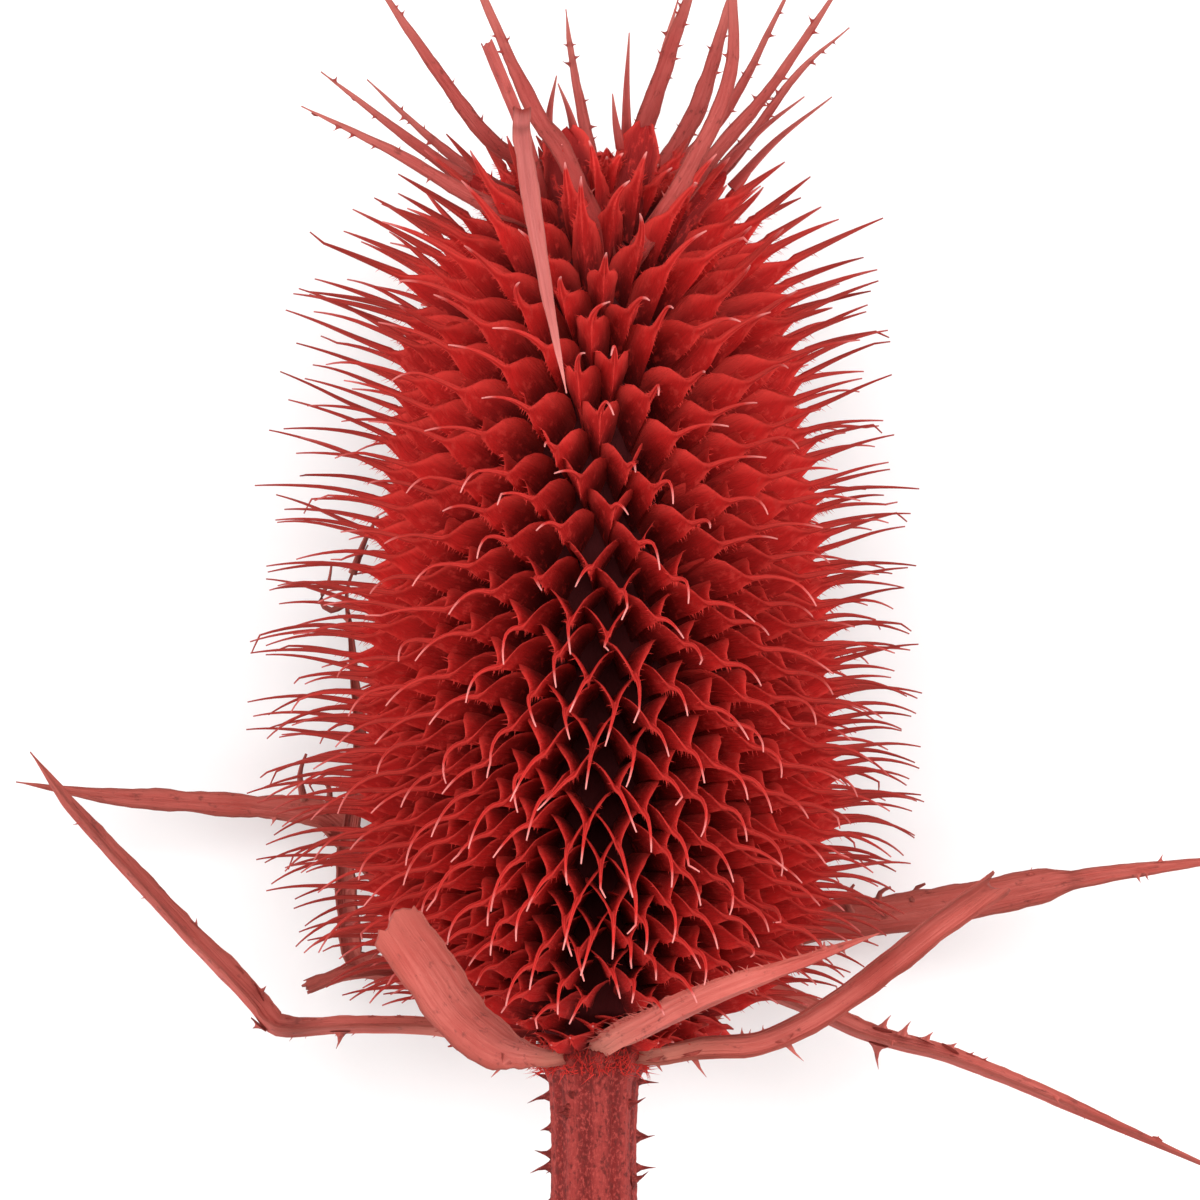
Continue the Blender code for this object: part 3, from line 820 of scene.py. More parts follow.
def scale_heights():
    """Heights over the base at which the scales stand, as close as the spacings ask."""
    heights = np.linspace(HEAD_HEIGHT[0], HEAD_HEIGHT[-1], 900)
    radius, length, tilt, spacing = (
        np.interp(heights, HEAD_HEIGHT, column)
        for column in (CORE_RADIUS, SCALE_LENGTH, SCALE_TILT, SPACING)
    )
    girth = 2 * math.pi * (radius + length * np.cos(np.radians(tilt)))
    reached = np.cumsum(girth / (CELL_SHARE * spacing**2) * (heights[1] - heights[0]))
    return np.interp(np.arange(int(reached[-1])) + 0.5, reached, heights)


heights = scale_heights()
print("the head carries", len(heights), "scales")

# %% [markdown]
# ## What the spines must stay clear of
#
# The long bracts under the head and the snapped strip over it lie among the spines, which give way to
# them. Their routes are the CAD model's own. A smooth curve through the points of each route gives
# balls, and a spine that would enter one is cut short.


# %% A route
class Route:
    """A long bract: its half width, the points of its route and the side its channel faces."""

    def __init__(self, half_width, points, facing=(0.0, 0.2, 1.0), broken=False):
        self.half_width = half_width * MM
        self.points = np.array(points, float) * MM
        self.facing = np.array(facing, float)
        self.broken = broken


print("a route faces up and a little to the crown unless it says otherwise")

# %% [markdown]
# Nine routes start at the collar. Those that rise first stand in front of the head, and those that
# sink first come from behind it and lie near the floor.

# %% The routes of the involucral bracts
INVOLUCRE = {
    "involucral_bract_1": Route(
        1.0,
        (
            (-8.0, -28.2, 23.0), (-10.5, -27.2, 23.6), (-13.9, -25.9, 24.4), (-20.6, -25.7, 25.0),
            (-25.2, -26.0, 25.0), (-26.6, -25.4, 25.1), (-28.0, -23.6, 25.2), (-32.6, -18.8, 25.6),
            (-39.4, -11.3, 26.3), (-44.3, -5.3, 27.0),
        ),
        (0.1, 1.0, 0.35),
    ),
    "involucral_bract_2": Route(
        1.7,
        (
            (-5.4, -28.0, 26.8), (-7.0, -27.7, 30.2), (-9.4, -26.7, 34.6), (-12.3, -24.1, 38.0),
            (-14.7, -20.5, 40.2), (-17.3, -16.7, 41.7),
        ),
        (0.2, -0.3, 1.0),
        True,
    ),
    "involucral_bract_3": Route(
        1.35,
        (
            (-4.3, -28.3, 16.5), (-7.4, -25.6, 10.4), (-13.1, -20.3, 4.4), (-18.4, -15.8, 3.4),
            (-21.2, -12.4, 4.2), (-22.4, -11.0, 5.0), (-24.4, -10.2, 5.6), (-31.9, -9.6, 7.0),
            (-39.4, -9.0, 8.0), (-46.5, -7.9, 9.0),
        ),
        (0.0, 0.3, 1.0),
    ),
    "involucral_bract_4": Route(
        0.75,
        (
            (-6.8, -28.3, 18.3), (-9.4, -26.3, 13.4), (-14.6, -22.9, 6.6), (-19.0, -22.2, 6.2),
            (-20.6, -21.6, 6.4), (-21.1, -20.0, 6.8), (-21.4, -14.0, 7.6), (-20.3, -6.0, 7.8),
            (-20.9, 3.0, 8.2), (-21.2, 6.8, 8.8), (-19.6, 10.2, 9.0),
        ),
        (0.2, 0.0, 1.0),
    ),
    "involucral_bract_5": Route(
        0.85,
        (
            (-8.0, -28.3, 20.4), (-11.2, -26.5, 15.8), (-15.2, -23.9, 11.2), (-17.8, -22.4, 11.6),
            (-21.0, -22.4, 13.0), (-24.5, -23.6, 14.0),
        ),
        (0.2, 0.7, 0.6),
        True,
    ),
    "involucral_bract_6": Route(
        1.25,
        (
            (-1.4, -27.2, 27.6), (0.6, -26.1, 31.4), (5.6, -23.4, 36.4), (12.4, -20.7, 38.2),
            (18.6, -18.4, 38.8),
        ),
        (-0.3, 0.5, -1.0),
    ),
    "involucral_bract_7": Route(
        1.35,
        (
            (2.2, -27.9, 24.9), (5.6, -27.2, 26.4), (10.1, -26.7, 28.2), (14.8, -24.3, 30.2),
            (19.5, -20.7, 32.2), (23.6, -17.4, 34.0), (27.8, -14.3, 36.0),
        ),
        (0.1, -0.25, 1.0),
        True,
    ),
    "involucral_bract_8": Route(
        1.75,
        (
            (-1.0, -28.4, 16.4), (2.6, -25.4, 10.0), (8.4, -21.0, 4.6), (13.1, -19.1, 4.4),
            (19.1, -18.4, 6.4), (25.1, -17.3, 9.2), (35.6, -15.0, 13.4), (43.1, -13.9, 15.6),
            (46.5, -13.6, 16.6),
        ),
        (0.0, 0.25, 1.0),
    ),
    "involucral_bract_9": Route(
        1.1,
        (
            (2.4, -28.4, 18.6), (4.9, -26.8, 14.4), (8.6, -23.6, 10.2), (12.6, -24.4, 10.6),
            (18.4, -26.9, 12.4), (25.1, -28.7, 13.4), (34.1, -32.3, 13.6), (46.5, -38.0, 13.0),
        ),
        (0.3, 1.0, 0.5),
    ),
}
print("the involucre has", len(INVOLUCRE), "bracts")

# %% [markdown]
# The bracts of the crown spread like a fan over the tip. Of one only the stub stands, and its end hangs
# down over the front of the head.

# %% The routes of the crown
CROWN = (
    Route(0.75, ((-3.0, 36.0, 24.0), (-7.1, 38.6, 25.0), (-10.9, 41.2, 26.0), (-19.7, 53.6, 28.5))),
    Route(0.9, ((-1.6, 32.0, 29.5), (-4.5, 38.8, 29.5), (-7.1, 43.1, 28.5), (-12.2, 54.4, 30.0))),
    Route(0.95, ((-0.4, 36.8, 25.0), (1.7, 42.0, 26.0), (3.2, 46.5, 27.0), (6.1, 54.8, 29.0))),
    Route(0.85, ((1.1, 36.0, 20.0), (4.1, 40.5, 18.0), (6.0, 44.6, 17.0), (9.2, 55.5, 15.0))),
    Route(0.85, ((0.2, 30.5, 30.0), (5.0, 38.4, 30.5), (7.9, 45.8, 30.5), (7.4, 57.75, 32.0))),
    Route(0.6, ((1.1, 36.0, 16.0), (5.6, 40.5, 13.0), (8.6, 44.6, 12.0), (13.1, 53.6, 10.5))),
    Route(0.75, ((0.6, 31.0, 28.0), (6.6, 39.0, 28.5), (11.2, 44.6, 27.5), (16.9, 53.1, 27.0))),
    Route(0.6, ((3.0, 34.1, 20.0), (8.6, 39.8, 18.0), (13.1, 45.8, 17.0), (17.0, 49.3, 16.0))),
    Route(0.65, ((-4.1, 34.9, 22.0), (-9.4, 36.8, 24.0), (-13.1, 38.2, 25.0), (-22.7, 45.4, 26.0))),
    Route(0.6, ((-4.9, 34.5, 18.0), (-10.1, 37.5, 16.0), (-14.6, 40.9, 14.0), (-19.6, 45.6, 12.0))),
    Route(0.75, ((-4.5, 33.0, 26.0), (-10.9, 35.6, 30.0), (-16.9, 39.0, 32.0), (-23.9, 42.4, 34.0))),
    Route(0.7, ((-1.9, 36.0, 14.0), (-3.0, 42.0, 9.0), (-4.1, 48.0, 5.0), (-4.5, 51.5, 3.2))),
    Route(0.7, ((0.0, 36.0, 14.0), (1.9, 43.5, 8.0), (3.4, 49.5, 4.0), (4.2, 52.5, 2.6))),
)
SNAPPED_STUB = Route(
    0.75,
    ((-5.2, 33.0, 26.0), (-6.9, 38.4, 29.5), (-8.0, 41.6, 33.4), (-10.3, 47.1, 35.2)),
    (0.1, 0.3, -1.0),
    True,
)
SNAPPED_END = Route(
    0.62,
    (
        (-7.6, 42.2, 34.0), (-7.6, 40.0, 35.8), (-6.8, 34.5, 40.0), (-5.5, 27.0, 43.4),
        (-4.3, 21.0, 44.8),
    ),
)
print("the crown has", len(CROWN), "bracts and a snapped one")

# %% [markdown]
# Both kinds of blade and the balls round them follow the same smooth curve, and share one taper: a
# blade opens over the first quarter of its length, and a whole one narrows to a point in the last half.


# %% Balls along the long bracts
def smooth_curve(knots, step):
    """Points about one step apart on a Catmull-Rom curve through the knots."""
    knots = [2 * knots[0] - knots[1], *knots, 2 * knots[-1] - knots[-2]]
    points = [knots[1]]
    for before, start, end, after in zip(knots, knots[1:], knots[2:], knots[3:]):
        pieces = max(1, round(float(np.linalg.norm(end - start)) / step))
        bend = 2 * before - 5 * start + 4 * end - after
        twist = 3 * start - before - 3 * end + after
        for piece in range(1, pieces + 1):
            t = piece / pieces
            points.append(start + 0.5 * ((end - before) * t + bend * t**2 + twist * t**3))
    return np.array(points)


def blade_share(u, broken):
    """A blade's half width at the share u of its length, as a share of its largest."""
    opening = 0.8 + 0.2 * np.minimum(1.0, u / 0.25)
    if broken:
        return opening
    return opening * np.minimum(1.0, np.maximum(0.0, (1.0 - u) / 0.55)) ** 0.75


CLEARANCE = 0.5 * MM
BALL_STEP = 0.8 * MM
ball_centres = []
ball_reaches = []
for route in (*INVOLUCRE.values(), SNAPPED_END, SNAPPED_STUB):
    curve = smooth_curve(route.points, BALL_STEP)
    share = blade_share(np.linspace(0.0, 1.0, len(curve)), route.broken)
    ball_centres.append(curve)
    ball_reaches.append(route.half_width * share + CLEARANCE)
BALL_CENTRES = np.concatenate(ball_centres)
BALL_REACHES = np.concatenate(ball_reaches)
print("spines stay clear of", len(BALL_CENTRES), "balls along the long bracts")

# %% [markdown]
# ## One scale with its spine
#
# A scale is a thin boat-shaped leaf. Its wings touch the neighbours all the way out from the root, so
# the scales wall off deep cells, and then sweep in to the spine, so that from the front each scale
# draws a Y. Its keel thickens into the spine, which bends down, leans to one side a little, and
# sometimes ends in a small kink. Seen from the side the spines droop less, and neighbouring ones lean
# together.
#
# The centre line is walked in short steps, each with its own slope and lean. Where the walk meets the
# floor it goes on along it, because the head lies on its lowest spines and bends them.

# %% The walk from root to tip
SCALE_SHARES = np.array([0.0, 0.16, 0.32, 0.46, 0.58, 0.68, 0.77, 0.85, 0.92, 1.0])
SPINE_SHARES = np.array([0.09, 0.2, 0.33, 0.46, 0.59, 0.72, 0.83, 0.92, 1.0])
ALL_SHARES = np.concatenate([SCALE_SHARES, 1.0 + SPINE_SHARES])
FLOOR_GAP = 0.2 * MM
LEAST_LEVEL = 0.3
LEAST_REACH = 0.05


def walk(start, outward, slopes, leans, distances):
    """The points and directions of a line that slopes to the crown and leans to its side."""
    side = np.cross(outward, TO_CROWN)
    point = start
    points, ways = [start], []
    for slope, lean, ahead in zip(slopes, leans, np.diff(distances)):
        flat = math.cos(lean)
        way = outward * math.cos(slope) * flat + TO_CROWN * math.sin(slope) * flat
        way = way + side * math.sin(lean)
        if point[2] + way[2] * ahead < FLOOR_GAP:
            way[2] = (FLOOR_GAP - point[2]) / ahead
            level = math.hypot(way[0], way[1])
            reach = math.sqrt(max(LEAST_REACH, 1.0 - way[2] ** 2))
            push = 1.0 if way[1] > 0 else -1.0
            if level < LEAST_LEVEL:
                way[1] += LEAST_LEVEL * push
                level = math.hypot(way[0], way[1])
            way[:2] *= reach / level
        ways.append(way / np.linalg.norm(way))
        point = point + way * ahead
        points.append(point)
    ways.append(ways[-1])
    ways = np.array(ways)
    ways[1:-1] = ways[:-2] + ways[1:-1]
    return np.array(points), unit(ways)


def first_hit(points, distances):
    """How far along a line the first ball of a long bract lies, or None."""
    gaps = np.linalg.norm(points[:, None] - BALL_CENTRES[None], axis=2) - BALL_REACHES
    inside = np.flatnonzero(gaps.min(axis=1) < 0.0)
    return distances[inside[0]] if len(inside) else None


print("a scale with its spine is walked in", len(ALL_SHARES) - 1, "steps")


# %% [markdown]
# Each scale takes its measures from the table at its height, and chance varies each of them a little.
# Near the crown the scales turn into stiff narrow blades, and from the middle of the head upwards their
# wings fold together along the keel. A few spines end in a hook or in a small kink.


# %% The measures of one scale
CROWN_STARTS, CROWN_FADE = 44.0, 14.0
FOLD_STARTS, FOLD_FADE = 30.0, 12.0
ROOT_DEPTH = 0.5
ROOT_RISE = math.radians(14.0)
TIP_DROOP = 2.1
GROUP_HEIGHT = 4.6
GROUP_TURN = 0.30
TILT_SPREAD, CROWN_TILT_SPREAD = 2.5, 6.0
LEAN_SPREAD, CROWN_LEAN_SPREAD = 9.0, 7.0
LENGTH_SPREAD, CROWN_LENGTH_SPREAD = 0.04, 0.14
SIDE_DROOP_CUT = 0.62
RIGHT_SPINE_CUT = 0.12
FRONT_SPINE_CUT, CROWN_SPINE_CUT = 0.18, 0.3
GATHER_SLOPE, GATHER_LEAN = 0.10, 1.1
KINK_CHANCE = 0.16
HOOK_CHANCE = 0.25
FEWEST_HAIRS, MORE_HAIRS = 5, 27
HAIRS_START, HAIRS_FADE = 20.0, 18.0


def rise_share(height, start, fade):
    """A share that goes from 0 at the start height to 1 when the fade is over."""
    return min(1.0, max(0.0, (height - start) / fade))


class Scale:
    """What one scale measures. Values of its own take the place of the table's."""

    def __init__(self, height, turn, rng, own):
        def measure(title, column):
            return own.get(title, at_height(column, height))

        self.crown = rise_share(height, CROWN_STARTS, CROWN_FADE)
        self.folded = rise_share(height, FOLD_STARTS, FOLD_FADE)
        self.sideways = 1.0 - abs(math.sin(turn)) ** 1.5
        front = 1.0 - self.sideways
        core = measure("core", CORE_RADIUS) * MM
        self.outward = np.array([math.cos(turn), 0.0, math.sin(turn)])
        foot = np.array([AXIS_X, BASE_Y + (sunk(height) - ROOT_DEPTH) * MM, AXIS_Z])
        self.root = foot + self.outward * core
        lift = at_height(SIDE_LIFT, height) * self.sideways
        tilt_spread = TILT_SPREAD + CROWN_TILT_SPREAD * self.crown
        tilt = measure("tilt", SCALE_TILT) + lift + rng.gauss(0.0, tilt_spread)
        self.tilt = math.radians(tilt)
        self.droop = math.radians(measure("droop", SPINE_DROOP)) * rng.uniform(0.75, 1.25)
        self.droop *= 1.0 - SIDE_DROOP_CUT * self.sideways
        self.lip = math.radians(measure("lip", LIP_BEND)) * front * rng.uniform(0.7, 1.2)
        self.length = measure("length", SCALE_LENGTH) * MM
        length_spread = LENGTH_SPREAD + CROWN_LENGTH_SPREAD * self.crown
        self.length *= 1.0 + length_spread * rng.uniform(-1.0, 1.0)
        self.spine = measure("spine", SPINE_LENGTH) * MM * rng.uniform(0.8, 1.1)
        front_cut = (FRONT_SPINE_CUT + CROWN_SPINE_CUT * self.crown) * front
        self.spine *= (1.0 - RIGHT_SPINE_CUT * math.cos(turn)) * (1.0 - front_cut)
        self.half = measure("half", HALF_WIDTH) * MM * rng.uniform(0.94, 1.06)
        self.steep = measure("steep", STEEPNESS)
        lean = math.radians(rng.gauss(0.0, LEAN_SPREAD + CROWN_LEAN_SPREAD * self.crown))
        self.kinked = rng.random() < KINK_CHANCE * (1.0 - self.crown)
        self.hooked = rng.random() < HOOK_CHANCE
        self.kink_slope, self.kink_lean = rng.uniform(-0.9, 0.4), rng.uniform(-0.9, 0.9)
        gather = self.sideways * (1.0 - self.crown)
        above = round(height / GROUP_HEIGHT) * GROUP_HEIGHT - height
        ahead = round(turn / GROUP_TURN) * GROUP_TURN - turn
        self.pull = GATHER_SLOPE * above * gather
        self.lean = lean + GATHER_LEAN * ahead * gather
        hairy = rise_share(height, HAIRS_START, HAIRS_FADE)
        self.hair_count = round(FEWEST_HAIRS + MORE_HAIRS * hairy)


print("scales fold from", FOLD_STARTS, "mm up, and are blades of the crown from", CROWN_STARTS, "mm up")


# %% [markdown]
# The slopes follow from these measures. The scale rises at its root and bends down at its lip, and the
# spine droops more and more towards its tip. Where the spine would enter a long bract, it is made
# shorter and the walk is done once more.


# %% The course of a scale and its spine
HOOK_STARTS = 1.55
HOOK_BEND = 2.2
KINK_STARTS = 1.86
SHORTEST_SPINE = 0.2
SPINE_GAP = 0.8 * MM


def scale_course(scale):
    """The points and directions of the centre line, and how far along it each point is."""
    tilt, droop, lip, pull = scale.tilt, scale.droop, scale.lip, scale.pull
    middles = (ALL_SHARES[1:] + ALL_SHARES[:-1]) / 2
    slopes = np.interp(
        middles,
        [0.0, 0.55, 0.8, 0.95, 1.15, 1.5, 2.0],
        [
            tilt + ROOT_RISE,
            tilt + 0.3 * ROOT_RISE,
            tilt - lip,
            tilt - 0.8 * lip,
            tilt + 0.3 * pull - 0.2 * lip,
            tilt + pull - 0.9 * droop,
            tilt + pull - TIP_DROOP * droop,
        ],
    )
    leans = np.interp(middles, [0.0, 0.9, 2.0], [0.0, 0.1 * scale.lean, 1.6 * scale.lean])
    if scale.hooked:
        hook = HOOK_BEND * (1.0 - scale.sideways) * (1.0 - scale.crown)
        slopes -= np.clip(middles - HOOK_STARTS, 0.0, 1.0) * hook
    if scale.kinked:
        slopes[middles > KINK_STARTS] += scale.kink_slope
        leans[middles > KINK_STARTS] += scale.kink_lean
    count = len(SCALE_SHARES)
    spine = scale.spine
    for attempt in range(2):
        distances = np.concatenate([SCALE_SHARES * scale.length, scale.length + SPINE_SHARES * spine])
        points, ways = walk(scale.root, scale.outward, slopes, leans, distances)
        hit = first_hit(points[count:], distances[count:])
        if hit is None or attempt:
            break
        spine = max(SHORTEST_SPINE * spine, hit - scale.length - SPINE_GAP)
    return points, ways, distances


print("a course is walked again where its spine meets a long bract")


# %% [markdown]
# Across, the scale is a bowl: a keel in the middle and two wings that rise to its edges, as thick as
# paper. Towards its end the flat section turns into the round one of the spine. The tables give its
# width and the height of its edges from root to end, for the scales of the head and of the crown.


# %% The section of a scale
SCALE_COLUMNS = np.array([-1.0, -0.7, -0.35, 0.0, 0.35, 0.7, 1.0])
KEEL = len(SCALE_COLUMNS) // 2
PROFILE_SHARES = [0.0, 0.25, 0.42, 0.56, 0.68, 0.78, 0.88, 1.0]


def profile(*values):
    """A measure of the scale, given at the shares of the profile, at every row of points."""
    return np.interp(SCALE_SHARES, PROFILE_SHARES, values)


SCALE_WIDTH = profile(0.62, 0.88, 1.0, 0.98, 0.80, 0.54, 0.30, 0.15)
SCALE_EDGE = profile(0.90, 1.0, 1.0, 1.0, 0.93, 0.74, 0.44, 0.10)
CROWN_WIDTH = profile(0.85, 1.0, 0.97, 0.90, 0.78, 0.66, 0.52, 0.36)
CROWN_EDGE = profile(0.80, 1.0, 0.95, 0.80, 0.60, 0.42, 0.24, 0.10)
ROUNDING = np.ones(len(ALL_SHARES))
ROUNDING[: len(SCALE_SHARES)] = np.clip((SCALE_SHARES - 0.76) / 0.24, 0.0, 1.0) ** 1.5
WALL = 0.13 * MM
BOWL_DEPTH = 0.35
KEEL_HEIGHT, FOLDED_KEEL = 0.2, 0.2
SPINE_ROOT_RADIUS = 0.24 * MM
CROWN_SPINE_RADIUS = 0.40 * MM
SPINE_TIP_RADIUS = 0.05 * MM


def round_section(columns):
    """The angles of a round section, for the points of its lower and its upper half."""
    gap = math.pi / (2 * columns)
    lower = np.linspace(math.pi + gap, 2 * math.pi - gap, columns)
    upper = np.linspace(math.pi - gap, gap, columns)
    return lower, upper


def frames(ways, side):
    """The side and normal of a strip at each point, square to the way it runs."""
    sides = unit(side - ways * (ways @ side)[:, None])
    return sides, np.cross(sides, ways)


def lay(points, sides, normals, across, up):
    """Lays out a grid of points, each so far across and so far up from its centre point."""
    return points[:, None] + sides[:, None] * across[..., None] + normals[:, None] * up[..., None]


def scale_section(scale, rng):
    """How far across and up the outer and the inner points lie, row by row."""
    rows, count = len(ALL_SHARES), len(SCALE_SHARES)
    crown, folded = scale.crown, scale.folded
    width = np.full(rows, SPINE_ROOT_RADIUS)
    width[:count] = scale.half * (SCALE_WIDTH * (1.0 - crown) + CROWN_WIDTH * crown)
    ragged = np.array([rng.uniform(0.93, 1.07) for _ in range(rows)])
    inner_x = (width * ragged)[:, None] * SCALE_COLUMNS[None]
    inner_n = np.zeros_like(inner_x)
    depth = scale.half * scale.steep * (SCALE_EDGE * (1.0 - crown) + CROWN_EDGE * crown)
    bowl = (1.0 - folded) * (1.0 - (1.0 - np.abs(SCALE_COLUMNS)) ** 1.6)
    bowl += folded * np.abs(SCALE_COLUMNS) ** 1.3
    inner_n[:count] = depth[:, None] * (bowl[None] - BOWL_DEPTH)
    keel = (KEEL_HEIGHT + FOLDED_KEEL * folded) * MM * (bowl[None] < 0.1)
    outer_n = inner_n - (WALL * (1.5 - np.abs(SCALE_COLUMNS))[None] + keel)
    outer_x = inner_x * 0.98
    neck = SPINE_ROOT_RADIUS * (1.0 - crown) + CROWN_SPINE_RADIUS * crown
    radii = [neck, neck, 0.74 * neck, 0.48 * neck, SPINE_TIP_RADIUS]
    radii = np.interp(ALL_SHARES, [0.0, 1.0, 1.25, 1.6, 2.0], radii)
    rounding = ROUNDING[:, None]
    section = []
    for flat, circle in zip(
        (outer_x, outer_n, inner_x, inner_n),
        (np.cos(LOWER), np.sin(LOWER), np.cos(UPPER), np.sin(UPPER)),
    ):
        section.append(flat * (1 - rounding) + rounding * radii[:, None] * circle[None])
    return section


LOWER, UPPER = round_section(len(SCALE_COLUMNS))
print("a scale has", len(SCALE_COLUMNS), "points across, and its wall is", WALL / MM, "mm thick")


# %% [markdown]
# The course and the section together give the two faces of a scale. Light comes through its thin rim
# and the ridge of its keel, which the marks make brighter, and the spines at the sides of the head are
# browner. Stiff hairs stand in rows on the keel and the edges, more of them higher up the head.


# %% One scale with its spine and hairs
CILIUM_RADIUS = 0.03 * MM
BROWN_STARTS, BROWN_FADE = 0.85, 0.4
RIDGE_STARTS, RIDGE_FADE, RIDGE_WIDTH = 0.55, 0.35, 0.6


def scale_hairs(skin, scale, outer, frame_rows, shade, rng):
    """Stiff short hairs on the keel and on both edges of a scale."""
    sides, normals, ways = frame_rows
    rows = np.array([rng.randrange(4, len(SCALE_SHARES) + 1) for _ in range(scale.hair_count)])
    columns = np.array([rng.choice((0, KEEL, KEEL, 2 * KEEL)) for _ in rows])
    between = np.array([rng.random() for _ in rows])[:, None]
    spread = np.array([[rng.uniform(0.4, 1.2), rng.uniform(-0.5, 0.5)] for _ in rows])
    feet = outer[rows, columns] * (1 - between) + outer[rows + 1, columns] * between
    apart = (columns / KEEL - 1.0)[:, None]
    hair_ways = sides[rows] * apart + ways[rows] * spread[:, :1]
    hair_ways += normals[rows] * (np.where(columns == KEEL, -1.0, 0.3)[:, None] + spread[:, 1:])
    hair_lengths = np.array([rng.uniform(0.2, 0.6) * MM for _ in rows])
    add_hairs(skin, feet, hair_ways, hair_lengths, CILIUM_RADIUS, shade)


def scaly_bract(skin, height, turn, rng, **own):
    """One keeled scale with its spine. Values of its own take the place of the table's."""
    scale = Scale(height, turn, rng, own)
    points, ways, distances = scale_course(scale)
    sides, normals = frames(ways, np.cross(scale.outward, TO_CROWN))
    outer_x, outer_n, inner_x, inner_n = scale_section(scale, rng)
    shade = rng.random()
    outer = lay(points, sides, normals, outer_x, outer_n)
    inner = lay(points, sides, normals, inner_x, inner_n)
    brown = scale.sideways * np.clip((ALL_SHARES - BROWN_STARTS) / BROWN_FADE, 0.0, 1.0)
    # The rims and the keel ridge take the rim colour, which on the scales is painted light.
    near_keel = (1.0 - np.abs(SCALE_COLUMNS) / RIDGE_WIDTH)[None]
    ridge = np.clip((ALL_SHARES - RIDGE_STARTS) / RIDGE_FADE, 0.0, 1.0)[:, None] * near_keel
    bright = np.maximum(np.abs(SCALE_COLUMNS)[None], np.clip(ridge, 0.0, 1.0))
    add_shell(skin, outer, inner, ALL_SHARES / 2, bright, shade, distances, brown)
    scale_hairs(skin, scale, outer, (sides, normals, ways), shade, rng)


# %% [markdown]
# One mesh of all the scales would be heavy to work with, so they become four bands, from the collar
# to the tip. The golden angle is kept from band to band, with a little chance in it.

# %% Build the scales in four bands
rng = random.Random(11)
TURN_SPREAD = 0.012
BANDS = (
    ("scales_lowest", 0.0, 0.25),
    ("scales_lower", 0.25, 0.5),
    ("scales_middle", 0.5, 0.75),
    ("scales_upper", 0.75, 1.0),
)
for name, start, end in BANDS:
    skin = Skin()
    for i in range(round(start * len(heights)), round(end * len(heights))):
        turn = i * GOLDEN_ANGLE + rng.gauss(0.0, TURN_SPREAD)
        scaly_bract(skin, heights[i], turn, rng)
    skin.piece(name, scale_red, "seed_head", "seed_head")

# %% [markdown]
# Under the lowest scales a skirt of short broad ones closes the head over the collar. They are the same
# scale with values of its own.

# %% The skirt
SKIRT_SCALES = 34
skin = Skin()
for i in range(SKIRT_SCALES):
    scaly_bract(
        skin,
        rng.uniform(0.3, 2.4),
        i * GOLDEN_ANGLE,
        rng,
        core=rng.uniform(3.9, 5.0),
        tilt=rng.uniform(-14.0, 8.0),
        droop=4.0,
        lip=0.0,
        length=rng.uniform(4.4, 6.4) * (1.0 - 0.4 * max(0.0, math.sin(i * GOLDEN_ANGLE))),
        half=2.2,
        steep=0.5,
        spine=rng.uniform(0.3, 0.9),
    )
skin.piece("skirt", scale_red, "seed_head", "seed_head")

# %% [markdown]
# At the very tip the youngest scales stand straight up, close together, and hide the end of the core.
# They are small, and hardly differ from one another.

# %% The scales of the tip
skin = Skin()
TIP_SCALES = 46
tip_rng = random.Random(12)
for i in range(TIP_SCALES):
    share = (i + 0.5) / TIP_SCALES
    scaly_bract(
        skin,
        66.2 - 2.4 * share,
        i * GOLDEN_ANGLE,
        tip_rng,
        core=0.2 + 3.9 * math.sqrt(share),
        tilt=84.0 - 26.0 * share,
        length=1.7 + 1.3 * share,
        half=0.85,
        spine=0.7 + 0.9 * share,
    )
skin.piece("tip_scales", scale_red, "seed_head", "seed_head")

# %% [markdown]
# ## The core
#
# Between the scales the eye meets the core, which is rough with the remains of the florets. It is
# painted dark as shade for the deep cells. A ring of points at each height of the same table, with a
# little noise on its radius, is enough.

# %% The core
CORE_SIDES = 72
CORE_ROWS = 70
# A piece shade of 0.9 takes the core most of the way to its deep colour, as part of its painted shade.
CORE_SHADE = 0.9
skin = Skin()
core_heights = sunk(np.concatenate([[0.0, 0.9, 1.8], HEAD_HEIGHT, [66.8]]))
core_radii = np.concatenate([[3.8, 4.4, 5.6], CORE_RADIUS, [0.3]])
steps = np.linspace(0.0, core_heights[-1], CORE_ROWS)
turns = np.arange(CORE_SIDES) / CORE_SIDES * 2 * math.pi
bumps = np.array([[rng.uniform(0.97, 1.03) for _ in turns] for _ in steps])
radii = np.interp(steps, core_heights, core_radii)[:, None] * MM * bumps
rings = level_rings(AXIS_X, BASE_Y, steps, radii, turns)
add_tube(skin, rings, np.zeros(CORE_ROWS), np.zeros(CORE_SIDES), CORE_SHADE, steps * MM)
skin.piece("core", core_painted_shade, "seed_head", "seed_head")


# %% [markdown]
# ## Prickles and long blades
#
# The long bracts are channelled blades with thick ribs, and carry prickles on their keels and edges. A
# blade is skinned over the route that its CAD solid follows. Its section is an arc, which is flat for
# an open blade and closes to a tube for a rolled one.
#
# A prickle has a broad foot along the blade that bears it, narrows fast, and hooks towards the tip of
# the blade. A wisp is a thin round tapered strand, for needles and broken fibres.


# %% A prickle and a wisp
PRICKLE_SHARES = np.array([0.0, 0.14, 0.34, 0.64, 1.0])
PRICKLE_RADII = np.array([1.0, 0.60, 0.36, 0.19, 0.03])
PRICKLE_STRETCH = 1.0 + 0.9 * (1.0 - PRICKLE_SHARES) ** 2
TO_CAMERA = np.array([0.0, 0.0, 1.0])


